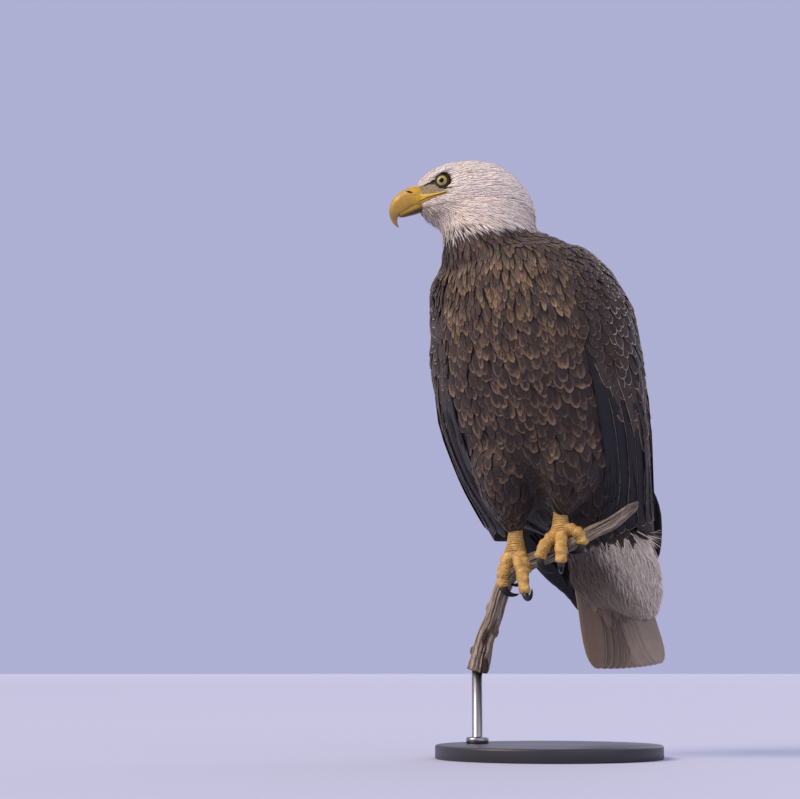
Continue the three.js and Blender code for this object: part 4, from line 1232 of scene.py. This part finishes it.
def makeUpperBill():
    local = billRings(bill["upper"], sectionOf(bill["upperSection"], 128), 190)
    # the soft cere stands a little proud of the horn, with a groove where they meet
    x, y, z = np.moveaxis(local, -1, 0)
    pastCere = x * 0.86 - (z + 20) * 0.5 - (bill["cereFront"] * 0.86 + 0.5 * np.sin(z * 0.4))
    out = unit(local - local.mean(1, keepdims=True))
    cere = 1 - smoothStep(-0.8, 0.8, pastCere)
    groove = np.exp(-(pastCere / 1.1) ** 2)
    local = local + out * (bill["cereProud"] * cere - 0.35 * groove)[..., None]
    # the nostril, a slanted slit sunk into each side of the cere
    nostrilX, nostrilZ, long, tall, slant = bill["nostril"]
    c, s = math.cos(math.radians(slant)), math.sin(math.radians(slant))
    u, v = (x - nostrilX) * c - (z - nostrilZ) * s, (x - nostrilX) * s + (z - nostrilZ) * c
    slit = np.sqrt((u / long) ** 2 + (v / tall) ** 2)
    onSides = np.abs(y) > 4
    deep = smoothStep(1.2, 0.3, slit) * onSides
    rim = np.exp(-((slit - 1.5) / 0.4) ** 2) * onSides
    local = local - out * (deep * bill["nostrilDeep"] - rim * 0.3)[..., None]
    tip = smoothStep(58, 70, x * 0.5 - z * 0.75)
    soft = 1 - smoothStep(-9, 7, pastCere + 2 * np.sin(z * 0.31 + x * 0.2))
    # painted shade: the nostril's opening is painted near-black, without shine
    dark = smoothStep(1.15, 0.8, slit) * onSides
    tint = over(blended(bill["horn"], bill["hornTip"], tip * 0.8), bill["cere"], soft)
    return headPiece("upper_bill", local, over(tint, bill["dark"], dark), "bill", "cere", gloss=1 - dark)


def makeLowerBill(upperTree):
    # yellow above, darker below with painted shade, and a painted shadow line where it meets the upper bill
    local = billRings(bill["lower"], sectionOf(bill["lowerSection"], 120), 150)
    low = smoothStep(0.4, -4.2, (local - local.mean(1, keepdims=True))[..., 2])
    away = [upperTree.find_nearest(point)[3] for point in onHead(local).reshape(-1, 3).tolist()]
    # painted shadow: a dark line on the lower bill close under the upper bill's edge
    line = 0.85 * np.exp(-(np.array(away).reshape(low.shape) / 0.45) ** 2)
    tint = blended(bill["horn"], bill["cere"], 0.75 * smoothStep(56, 40, local[..., 0]))
    tint = over(over(tint, bill["under"], 0.92 * low), bill["dark"], line)
    return headPiece("lower_bill", local, tint, "jaw", gloss=1 - 0.7 * line)


def surfaceOf(piece):
    faces = [tuple(face.vertices) for face in piece.data.polygons]
    return treeOf(numbersOf(piece.data.vertices, "co", 3) / mm, faces)


upperSurface = surfaceOf(makeUpperBill())
headSurfaces = [shellBvh, upperSurface, surfaceOf(makeLowerBill(upperSurface))]
besideHead = 90  # rays at the side of the head start this far out


def onFace(side, x, z, tree=shellBvh):
    # the place, the face and the distance that a ray from the side of the head hits, or nothing
    start, out = onHead((x, side * besideHead, z)), onHead((0, -side, 0)) - onHead((0, 0, 0))
    hit, _, index, distance = tree.ray_cast(Vector(start), Vector(out))
    return hit, index, distance


def makeGape(side):
    # bare yellow skin on one side of the face, from the cere back over the corner of the mouth, and the
    # groove of the mouth along it; its edges and its front sink out of sight
    t = np.linspace(0, 1, 90)
    line = through(bill["mouth"], t)
    above, below = (through(bill[key], t)[:, None] for key in ("gapeAbove", "gapeBelow"))
    v = np.linspace(-1, 1, 48)[None, :]
    fromMouth = np.where(v > 0, above * v, below * v)
    x, z = np.broadcast_to(line[:, :1], fromMouth.shape), line[:, 1:2] + fromMouth
    width = np.empty(x.shape)
    for index in np.ndindex(x.shape):
        hits = [onFace(side, x[index], z[index], tree)[2] for tree in headSurfaces]
        width[index] = besideHead - min([hit for hit in hits if hit is not None and hit < 86] or [80])
    for _ in range(10):
        width[1:-1] = (width[:-2] + 2 * width[1:-1] + width[2:]) / 4
        width[:, 1:-1] = (width[:, :-2] + 2 * width[:, 1:-1] + width[:, 2:]) / 4
    groove = np.exp(-(fromMouth / 0.55) ** 2)
    sunk = smoothStep(33, 41, x)
    wrinkles = 0.1 * np.sin(x * 1.9 + z) * np.sin(z * 2.3 - x * 0.4)
    swell = 1.5 * (1 - np.abs(v) ** 4) - 0.8 - 1.5 * sunk + wrinkles
    outer = np.stack([x, side * (width + swell - 1.5 * groove * (1 - sunk)), z], -1)
    inner = outer - np.array([0, side * 2.5, 0])
    # painted shade: the groove of the mouth is near-black, and the skin below it darker towards the back
    dark = 0.9 * np.exp(-(fromMouth / 0.6) ** 2)
    tint = blended(bill["cere"], bill["under"], 0.45 * smoothStep(-0.3, -1.0, v) * smoothStep(0, 26, x))
    tint = over(tint * (0.86 + 0.14 * smoothStep(-0.4, 0.4, fromMouth)[..., None]), bill["dark"], dark)
    rings, tint, gloss = (np.concatenate([front, back[:, ::-1]], 1)
                          for front, back in ((outer, inner), (tint, tint), (1 - dark, 1 - dark)))
    return headPiece("gape", rings, tint, gloss=gloss)


joined("gape_skin", [makeGape(1), makeGape(-1)])
print("the bill is made")

# eyes and the bare skin round them
eye = {
    # angles from the middle of the gaze, in degrees, as seen from the middle of the eye
    "pupil": 16, "iris": 36, "lidInner": 41, "lidOuter": 65,
    "irisColour": "#b0a35f", "irisDark": "#6a6133", "limbus": "#0d0b0a", "black": "#070608",
    "lidTint": "#6f673b", "lidDark": "#1d191a", "lidThick": 0.7, "creaseFlat": 0.4,
}


def eyeFinish():
    # a wet cornea over a pale iris: black pupil, fine spokes, dark rim
    material, tree, shader, ring = newFinish("wet_cornea_over_iris", ("ring",), Roughness=0.04,
                                             Specular_IOR_Level=0.28)
    parts = addNode(tree, "SeparateXYZ", links={0: ring.outputs["Vector"]})
    stretch = {0: ("Y", 9.0), 1: ("Z", 9.0), 2: ("X", 0.05)}
    spokes = addNode(tree, "CombineXYZ", links={
        slot: addNode(tree, "Math", {"operation": "MULTIPLY", 1: scale}, {0: parts.outputs[axis]})
        for slot, (axis, scale) in stretch.items()})
    noise = addNode(tree, "TexNoise", {"Scale": 1.0, "Detail": 3.0}, {"Vector": spokes})
    spoke = addNode(tree, "MapRange", span(0.25, 0.6, 0.35), {"Value": noise})
    iris = addNode(tree, "Mix", mixOf(eye["irisDark"], eye["irisColour"]), {0: spoke})
    edges = (eye["pupil"] - 0.8, eye["pupil"] + 0.8), (eye["iris"] - 2.5, eye["iris"] + 0.8)
    inner, outer = (addNode(tree, "MapRange", {"interpolation_type": "SMOOTHSTEP", **span(*edge)},
                            {"Value": parts.outputs["X"]}) for edge in edges)
    withPupil = addNode(tree, "Mix", {"data_type": "RGBA", 6: paint(eye["black"])},
                        {0: inner, 7: iris.outputs[2]})
    whole = addNode(tree, "Mix", {"data_type": "RGBA", 7: paint(eye["limbus"])},
                    {0: outer, 6: withPupil.outputs[2]})
    tree.links.new(whole.outputs[2], shader.inputs["Base Color"])
    return material


def browCrease(name, side, rings=60, around=14):
    # a soft ridge of dark skin along the brow, on one side of the head; its dark is partly painted shade
    # under the brow
    t = np.linspace(0, 1, rings)
    hits = [onFace(side, x, z) for x, z in through(list(zip(brow["x"], brow["z"]))[::-1], t)]
    middle = evened(np.array([[hit for hit, _, _ in hits]]), 4)[0]
    ahead = unit(np.gradient(middle, axis=0))
    normal = onSurface(unit(evened(faceNormals[[index for _, index, _ in hits]][None], 4)[0]), ahead)
    radius = (through(brow["crease"][::-1], t) * roundedEnds(t, 10, 0.0004))[:, None]
    local = inHead(ringsRound(middle, np.cross(ahead, normal), normal, radius, radius * eye["creaseFlat"],
                              aroundOnce(around)))
    headPiece(name, local, np.broadcast_to(linear(eye["lidDark"]), local.shape), gloss=0.3)


def makeEye(side, sideName, cornea):
    gaze = unit(np.array(head["gaze"]) * [1, side, 1])
    up = unit(np.array([0, 0, 1.0]) - gaze * gaze[2])
    across = np.cross(up, gaze)

    def onEye(fromGaze, turns, radius):
        # places at angles from the gaze and turns round it
        way = (gaze * np.cos(fromGaze)[..., None] + across * (np.sin(fromGaze) * np.cos(turns))[..., None]
               + up * (np.sin(fromGaze) * np.sin(turns))[..., None])
        return np.array(head["eye"]) * [1, side, 1] + way * radius[..., None]

    tilt = np.concatenate([np.linspace(0.4, 60, 46), np.linspace(66, 179.6, 14)])[:, None]
    turns = aroundOnce(56)[None, :]
    bulge = head["eyeRadius"] * (1 + 0.03 * smoothStep(40, 10, tilt))
    ball = tubePiece("eye_ball_" + sideName, onHead(onEye(np.radians(tilt), turns, bulge)), cornea)
    ring = np.broadcast_arrays(tilt, np.cos(turns), np.sin(turns))
    addValues(ball, "ring", np.stack(ring, -1), "FLOAT_VECTOR")
    placed(ball, "eye", "eye_" + sideName)
    # the lids are a soft ring of wrinkled skin that grips the ball: dark at its rim and outside, and darker
    # above with painted shade from the brow
    rows, columns = 72, 14
    turns = aroundOnce(rows)[:, None]
    inner = eye["lidInner"] - 2.5 * np.maximum(np.sin(turns), 0) + 1.5 * np.cos(2 * turns)
    section = aroundOnce(columns)[None, :]
    share = (1 - np.cos(section)) / 2
    radius = (head["eyeRadius"] + 0.2 + eye["lidThick"] * np.maximum(np.sin(section), 0)
              + 0.25 * np.sin(share * 3 * np.pi) - 1.3 * share)
    local = onEye(np.radians(inner + (eye["lidOuter"] - inner) * share), turns, radius)
    quads = tubeSides(rows + 1, columns) % (rows * columns)
    lid = newPiece("eyelid_" + sideName, onHead(local).reshape(-1, 3), quads.ravel(),
                   np.full(rows * columns, 4), hornSkin)
    # painted shade from the brow over the upper lid
    above = 0.6 * smoothStep(0.1, 0.8, np.sin(turns)) + 0.12 * np.sin(turns * 9) * np.sin(turns * 4 + 1)
    rims = np.maximum(smoothStep(0.3, 0.46, share), 0.95 * smoothStep(0.16, 0.06, share))
    dark = np.clip(np.maximum(rims, above), 0, 1)
    addValues(lid, "local", local, "FLOAT_VECTOR")
    addColour(lid, "tint", blended(eye["lidTint"], eye["lidDark"], dark), 0.5)
    placed(lid, "bill_horn")
    browCrease("brow_crease_" + sideName, side)


corneaOverIris = eyeFinish()
makeEye(1, "left", corneaOverIris)
makeEye(-1, "right", corneaOverIris)
print("the eyes are made")

# feet
legs = {
    # the shank from its top to the palm, then for each toe: its heading, how steep it starts and ends, its
    # length and radius, and its claw's length and how far it curls
    "right": {
        "shank": ((-45, 3, 54), (-43, -3, 9)),
        "hind": (160, -14, -84, 32, 8.5, 34, 96), "inner": (-22, -32, -92, 36, 9.4, 30, 110),
        "outer": (-154, -42, -100, 54, 8.6, 25, 110), "middle": (-46, -52, -76, 66, 8, 30, -176),
    },
    "left": {
        "shank": ((18, 3, 74), (21, -3, 33)),
        "hind": (112, -14, -104, 40, 8.5, 34, 96), "inner": (-140, -20, -80, 50, 8.6, 30, 120),
        "outer": (-4, 34, -96, 44, 8.2, 25, 120), "middle": (-74, -28, -100, 50, 8.2, 30, 116),
    },
    # the shank's half width and depth along it, from above its top to beyond the palm
    "shankAt": [-0.2, 0, 0.5, 0.8, 1, 1.28], "shankWide": [9.5, 9.5, 9.6, 12, 15, 8],
    "shankDeep": [9.5, 9.5, 9.6, 10.5, 12, 8],
    "taper": 0.92, "clawRoot": 0.72, "scute": 3.1, "knuckle": 0.08, "ringsAlong": 150,
    "skin": "#d09a3e", "skinPale": "#e3c07a", "creaseShade": "#5f431f", "claw": "#131216", "clawPale": "#3c3734",
}


def scaleFinish():
    # leathery scaled skin, in plates about 2.4 mm across: satin, with duller creases between them, darkened
    # there as painted shade
    material, tree, shader, local, tint = newFinish("scaled_leather_skin", ("local", "tint"), Roughness=0.5,
                                                    Specular_IOR_Level=0.45)
    place = {"Vector": local.outputs["Vector"]}
    cells = addNode(tree, "TexVoronoi", {"feature": "DISTANCE_TO_EDGE", "Scale": 0.42}, place)
    dirt = addNode(tree, "TexNoise", {"Scale": 0.12, "Detail": 5.0, "Roughness": 0.65}, place)
    plate = addNode(tree, "MapRange", {"interpolation_type": "SMOOTHSTEP", **span(0, 0.16)},
                    {"Value": cells.outputs["Distance"]})
    crease = addNode(tree, "MapRange", span(0, 1, 0.7, 1), {"Value": plate})
    grime = addNode(tree, "MapRange", span(0.3, 0.68, 0.62, 1.14), {"Value": dirt})
    shade = addNode(tree, "Math", {"operation": "MULTIPLY"}, {0: crease, 1: grime})
    shaded = addNode(tree, "VectorMath", {"operation": "SCALE"}, {0: tint, "Scale": shade})
    dull = addNode(tree, "MapRange", span(0, 1, 0.72, 0.42), {"Value": plate})
    wired(tree, shader, plate, 0.55, 0.0007, Base_Color=shaded, Roughness=dull)
    return material


def talonFinish():
    # hard black keratin, worn to a duller, browner root
    material, tree, shader, local, tint = newFinish("black_talon_keratin", ("local", "tint"), Roughness=0.22,
                                                    Specular_IOR_Level=0.35)
    scratch = addNode(tree, "TexNoise", {"Scale": 0.5, "Detail": 6.0, "Roughness": 0.7},
                      {"Vector": local.outputs["Vector"]})
    shade = addNode(tree, "MapRange", span(0.3, 0.7, 0.7, 1.5), {"Value": scratch})
    shaded = addNode(tree, "VectorMath", {"operation": "SCALE"}, {0: tint, "Scale": shade})
    gloss = addNode(tree, "MapRange", span(0.3, 0.7, 0.22, 0.45), {"Value": scratch})
    wired(tree, shader, scratch, 0.15, 0.0004, Base_Color=shaded, Roughness=gloss)
    return material


def bent(start, heading, pitchFrom, pitchTo, long, steps):
    # places along a toe or claw that starts at a place and bends in its own upright plane
    turn = math.radians(heading)
    pitch = np.radians(pitchFrom + (pitchTo - pitchFrom) * (np.arange(steps) + 0.5) / steps)
    step = np.stack([math.cos(turn) * np.cos(pitch), math.sin(turn) * np.cos(pitch), np.sin(pitch)], -1)
    return np.concatenate([[start], start + np.cumsum(step * long / steps, 0)])


def limbRings(line, level, wide, tall, swell, turns):
    # rings round a bent line whose sides stay level; swell says how much larger they are at each place
    ahead = unit(np.gradient(line, axis=0))
    side = onSurface(np.broadcast_to(level, line.shape), ahead)
    return ringsRound(line, side, np.cross(side, ahead), wide[:, None] * (1 + swell),
                      tall[:, None] * (1 + swell), turns)


def plated(t, turns, plates):
    # rows of overlapping plates over the top of a limb: how far they stand up, and the creases between,
    # later painted dark as shade
    saw = (t * plates + 0.12 * np.sin(turns * 2 + t * 17) + 0.1 * np.sin(t * 41)) % 1
    upper = smoothStep(-0.75, 0.1, np.sin(turns))
    return (1 - 0.5 * saw) * upper, smoothStep(0.2, 0.02, np.minimum(saw, 1 - saw)) * upper


def makeShank(top, palm):
    along, turns = np.linspace(0, 1, legs["ringsAlong"]), aroundOnce(56)[None, :]
    first, last = legs["shankAt"][0], legs["shankAt"][-1]
    t = first + (last - first) * along
    wide, deep = (evened(np.interp(t, legs["shankAt"], legs[key])[None, :, None], 12)[0, :, 0]
                  * roundedEnds(along, 12) for key in ("shankWide", "shankDeep"))
    plates = np.linalg.norm(palm - top) * (last - first) / legs["scute"]
    height, crease = plated(along[:, None], -turns, plates)  # the plates are at the front
    swell = height * 0.05 - crease * 0.07 + 0.02 * np.sin(turns * 5 + along[:, None] * 30)
    line = top + (palm - top) * t[:, None]
    return limbRings(line, np.array([1.0, 0, 0]), wide, deep, swell, turns), crease


def makeToe(palm, level, heading, first, last, long, radius):
    line = bent(palm, heading, first, last, long, legs["ringsAlong"])
    along, turns = np.linspace(0, 1, len(line)), aroundOnce(40)[None, :]
    t = along[:, None]
    pads = 1 + legs["knuckle"] * np.cos((along * 3 + 0.1) * 2 * math.pi) * smoothStep(0.15, 0.4, along)
    wide = radius * (1 - (1 - legs["taper"]) * along) * pads * roundedEnds(along, 16)
    height, crease = plated(t, turns, long / legs["scute"])
    beyond = smoothStep(0.1, 0.3, t)
    pad = 0.12 * np.clip(-np.sin(turns), 0, 1) * np.sin((t * 3 + 0.1) * 2 * np.pi) ** 2
    swell = height * 0.08 * beyond - crease * 0.12 * beyond + pad + 0.02 * np.sin(turns * 5 + t * 30)
    return limbRings(line, level, wide, wide * 0.98, swell, turns), crease * beyond, line


def makeClaw(start, level, heading, last, radius, claw, curl):
    line = bent(start, heading, last, last - curl, claw + 3, 48)
    along, turns = np.linspace(0, 1, len(line)), aroundOnce(22)[None, :]
    size = radius * legs["taper"] * legs["clawRoot"] * np.maximum(0, 1 - along) ** 0.7 + 0.25
    size = size * roundedEnds(along, 26)
    keel = np.broadcast_to(-0.1 * np.clip(-np.sin(turns), 0, 1) ** 3, (len(line), 22))
    return limbRings(line, level, size * 0.88, size, keel, turns)


def legPiece(name, rings, tint, finish):
    piece = tubePiece(name, rings + grip, finish)
    addValues(piece, "local", rings + grip, "FLOAT_VECTOR")
    addColour(piece, "tint", tint)
    return piece


def makeFoot(sideName, scaled, talon):
    plan = legs[sideName]
    top, palm = (np.array(place, float) for place in plan["shank"])
    parts, claws = [("shank", *makeShank(top, palm))], []
    toes = [name for name in plan if name != "shank"]
    for name in toes:
        heading, first, last, long, radius, claw, curl = plan[name]
        level = np.array([-math.sin(math.radians(heading)), math.cos(math.radians(heading)), 0])
        rings, creases, line = makeToe(palm, level, heading, first, last, long, radius)
        parts.append((name, rings, creases))
        claws.append((name, makeClaw(line[-8], level, heading, last, radius, claw, curl)))
    pieces = []
    for name, rings, creases in parts:
        worn = 0.3 * np.sin(rings[..., 2] * 0.35) * np.sin(rings[..., 0] * 0.3 + 1)
        tint = blended(legs["skinPale"], legs["skin"], np.clip(0.5 + dice.uniform(-0.06, 0.06) + worn, 0, 1))
        # painted shade in the creases between the scutes
        tint = over(tint, legs["creaseShade"], np.clip(creases * 0.85, 0, 1))
        pieces.append(legPiece("foot_" + name, rings, tint, scaled))
    placed(joined("foot_" + sideName, pieces), "foot_skin", "shank_" + sideName,
           *("toe_%s_%s" % (sideName, name) for name in toes))
    for name, rings in claws:
        share = smoothStep(0.0, 0.3, np.linspace(0, 1, len(rings)))[:, None]
        tint = blended(legs["clawPale"], legs["claw"], np.broadcast_to(share, rings.shape[:2]))
        piece = legPiece("talon_%s_%s" % (sideName, name), rings, tint, talon)
        placed(piece, "claw_horn", "claw_%s_%s" % (sideName, name))


scaledSkin, talonHorn = scaleFinish(), talonFinish()
makeFoot("right", scaledSkin, talonHorn)
makeFoot("left", scaledSkin, talonHorn)
print("the feet are made")

# the dead branch
perch = {
    # along the branch from its sawn foot to its torn end: x, y, z and radius
    "route": [(-102, 6, -151, 15), (-96, 6, -129, 13.4), (-89, 5, -105, 12.2), (-76, 3, -73, 11.3),
              (-64, 1, -42, 11), (-49, 0, -18, 11), (-24, 0, -6, 10.8), (4, 0, 3, 10.2), (35, 1, 17, 9.6),
              (62, 2, 32, 9), (92, 4, 46, 8.6), (120, 7, 66, 6.8)],
    # stubs of broken twigs and burrs: how far along, where round the branch, how tall
    "stubs": [(26, 3.4, 4.5), (34, 1.0, 3.0), (58, 0.3, 3.4), (88, 2.9, 2.4), (236, 1.2, 2.2),
              (290, 4.4, 2.2)],
    "stubLong": 6, "cracks": 56, "crackDeep": 1.9, "splinters": 4.2,
    "pale": "#b5a594", "dark": "#3a312b", "bark": "#4e4239",
}


def woodFinish():
    # barkless dead wood, silvered by weather: long grey fibres a millimetre or so apart, open cracks painted
    # dark as shade, matt all over
    material, tree, shader, grain, tint = newFinish("weathered_dead_wood", ("grain", "tint"), Roughness=0.88,
                                                    Specular_IOR_Level=0.25)
    fine, wide = (addNode(tree, "Mapping", {"Scale": scale}, {"Vector": grain.outputs["Vector"]})
                  for scale in ((0.8, 0.05, 1.0), (0.22, 0.03, 1.0)))
    fibres = addNode(tree, "TexNoise", {"Scale": 1.0, "Detail": 6.0, "Roughness": 0.68}, {"Vector": fine})
    bands = addNode(tree, "TexNoise", {"Scale": 1.0, "Detail": 3.0}, {"Vector": wide})
    fibred = addNode(tree, "MapRange", span(0.34, 0.64, 0.28, 1.5), {"Value": fibres})
    banded = addNode(tree, "MapRange", span(0.3, 0.7, 0.75, 1.2), {"Value": bands})
    shade = addNode(tree, "Math", {"operation": "MULTIPLY"}, {0: fibred, 1: banded})
    shaded = addNode(tree, "VectorMath", {"operation": "SCALE"}, {0: tint, "Scale": shade})
    wired(tree, shader, fibres, 1.0, 0.002, Base_Color=shaded)
    return material


def turnsApart(turns, at):
    return np.abs((turns - at + np.pi) % (2 * np.pi) - np.pi)


def makeBranch(count=380, around=150):
    t = np.linspace(0, 1, count)
    rows = through(perch["route"], t)
    line, radius = rows[:, :3], rows[:, 3:]
    ahead = unit(np.gradient(line, axis=0))
    front = onSurface(np.broadcast_to([0, -1.0, 0], line.shape), ahead)
    turns = aroundOnce(around)[None, :]
    walked = np.concatenate([[0], np.cumsum(np.linalg.norm(np.diff(line, axis=0), axis=1))])[:, None]
    knots = 0.05 * np.sin(3 * turns + 9 * t[:, None]) + 0.04 * np.sin(31 * t[:, None] + turns)
    grooves, cracks, stubs = np.zeros((3, count, around))
    for order in range(5, 30, 2):
        drift = dice.uniform(-0.02, 0.02) * walked
        drift = drift + 0.4 * np.sin(walked / dice.uniform(18, 45) + dice.uniform(0, 6))
        wave = np.sin(order * turns + dice.uniform(0, 2 * np.pi) + drift * 2)
        fading = 0.5 + 0.5 * np.sin(walked / dice.uniform(14, 50) + dice.uniform(0, 6))
        grooves += wave * 0.14 / order ** 0.45 * fading
    for _ in range(perch["cracks"]):
        middle, long = dice.uniform(0, walked[-1, 0]), dice.uniform(12, 48)
        off = turnsApart(turns, dice.uniform(0, 2 * np.pi) + 0.1 * np.sin(walked / 15))
        gape = np.exp(-(off / 0.06) ** 2) * np.exp(-((walked - middle) / long) ** 4)
        cracks += gape * dice.uniform(0.5, 1)
    cracks = np.minimum(cracks, 1.2)
    for middle, at, tall in perch["stubs"]:
        off = turnsApart(turns, at)
        stubs += tall * np.exp(-((walked - middle) / perch["stubLong"]) ** 4 - (off / 0.5) ** 4)
    # the foot is sawn across, the far end is torn to splinters
    teeth = sum(dice.uniform(0.3, 1) * np.sin(order * turns + dice.uniform(0, 6))
                for order in (2, 3, 5, 8, 13, 19))
    torn = smoothStep(0.93, 1.0, t)[:, None]
    scale = radius * (1 + knots + grooves * 0.4) - cracks * perch["crackDeep"] + stubs
    scale = scale * roundedEnds(t, 90)[:, None] * (1 - 0.4 * torn * (teeth > 0.5))
    rings = ringsRound(line, np.cross(ahead, front), front, scale, scale, turns)
    rings = rings + ahead[:, None] * (torn ** 2 * np.clip(teeth, -1.6, 1.6) * perch["splinters"])[..., None]
    piece = tubePiece("dead_branch", rings + grip, woodFinish())
    bark = smoothStep(0.35, 0.8, np.sin(turns * 2 + walked / 21) * np.sin(walked / 17 + 1.3)
                      + 0.4 * np.sin(turns * 5 - walked / 9)) * smoothStep(120, 40, walked)
    # painted shade and light: the cracks and the dips of the grooves are painted dark, the ridges between
    # them pale
    tint = blended(perch["dark"], perch["pale"], np.clip(0.62 + grooves * 2.2, 0, 1))
    tint = over(over(tint, perch["bark"], bark), perch["dark"], np.clip(cracks * 0.9, 0, 1))
    grain = np.broadcast_arrays(turns * radius, walked, radius)
    addValues(piece, "grain", np.stack(grain, -1), "FLOAT_VECTOR")
    addColour(piece, "tint", tint)
    placed(piece, "dead_wood", "branch")


makeBranch()
print("the branch is made")

# stand
stand = {
    "radius": 150, "thick": 18, "edge": 3, "bevel": 1.2, "rod": 7, "rodAt": (-102, 6), "rodTop": 129,
    "foot": 15, "footThick": 8, "footBevel": 1.5, "footGap": 0.35,
    "paint": "#26262a", "dust": "#34343a", "steel": "#a3a4a8", "steelDull": "#8d8e92",
}


def turned(name, profile, place, around, finish):
    # a turned solid from its profile of (radius, height), with no point on the axis itself
    turns = aroundOnce(around)
    rings = np.array([[(place[0] + r * math.cos(a), place[1] + r * math.sin(a), z) for a in turns]
                      for r, z in profile])
    piece = tubePiece(name, rings, finish)
    for polygon in piece.data.polygons:
        polygon.use_smooth = len(polygon.vertices) == 4
    return piece


def makeBase():
    # sprayed satin paint: even black, with a fine orange-peel ripple that softens the reflections
    finish, tree, shader = newFinish("satin_sprayed_paint", Roughness=0.38)
    place = {"Vector": addNode(tree, "TexCoord").outputs["Object"]}
    peel = addNode(tree, "TexNoise", {"Scale": 420.0, "Detail": 2.0}, place)
    dust = addNode(tree, "TexNoise", {"Scale": 14.0, "Detail": 5.0}, place)
    colour = addNode(tree, "Mix", mixOf(stand["paint"], stand["dust"]), {0: dust})
    gloss = addNode(tree, "MapRange", span(0, 1, 0.3, 0.5), {"Value": dust})
    wired(tree, shader, peel, 0.12, 0.0003, Base_Color=colour.outputs[2], Roughness=gloss)
    radius, thick, edge, bevel = (stand[key] for key in ("radius", "thick", "edge", "bevel"))
    arc = [(radius - edge + edge * math.sin(a), thick - edge + edge * math.cos(a))
           for a in np.linspace(np.pi / 2, 0, 7)]
    profile = [(1, 0), (radius - bevel, 0), (radius, bevel), *arc, (radius * 0.9, thick), (1, thick)]
    placed(turned("stand_base_disc", profile, (0, 0), 128, finish), "base_paint", "stand_base")


def makeRod():
    # drawn steel rod, brushed round its length, bright in thin lines
    finish, tree, shader = newFinish("brushed_steel", Metallic=1.0, Roughness=0.3)
    place = addNode(tree, "TexCoord")
    fine = addNode(tree, "Mapping", {"Scale": (60.0, 60.0, 2400.0)}, {"Vector": place.outputs["Object"]})
    brush = addNode(tree, "TexNoise", {"Scale": 1.0, "Detail": 2.0}, {"Vector": fine})
    tone = addNode(tree, "Mix", mixOf(stand["steelDull"], stand["steel"]), {0: brush})
    tree.links.new(tone.outputs[2], shader.inputs["Base Color"])
    rough = addNode(tree, "MapRange", span(0, 1, 0.24, 0.42), {"Value": brush})
    tree.links.new(rough.outputs["Result"], shader.inputs["Roughness"])
    foot, rod, top, bevel = (stand[key] for key in ("foot", "rod", "rodTop", "footBevel"))
    low = stand["thick"] + stand["footGap"]
    footTop = low + stand["footThick"]
    profile = [(0.5, low), (foot, low), (foot, footTop - bevel), (foot - bevel, footTop), (rod + 1, footTop),
               (rod, footTop + 1), (rod, top), (0.5, top)]
    placed(turned("stand_rod_steel", profile, stand["rodAt"], 48, finish), "rod_steel", "stand_rod")


makeBase()
makeRod()
print("the stand is made")
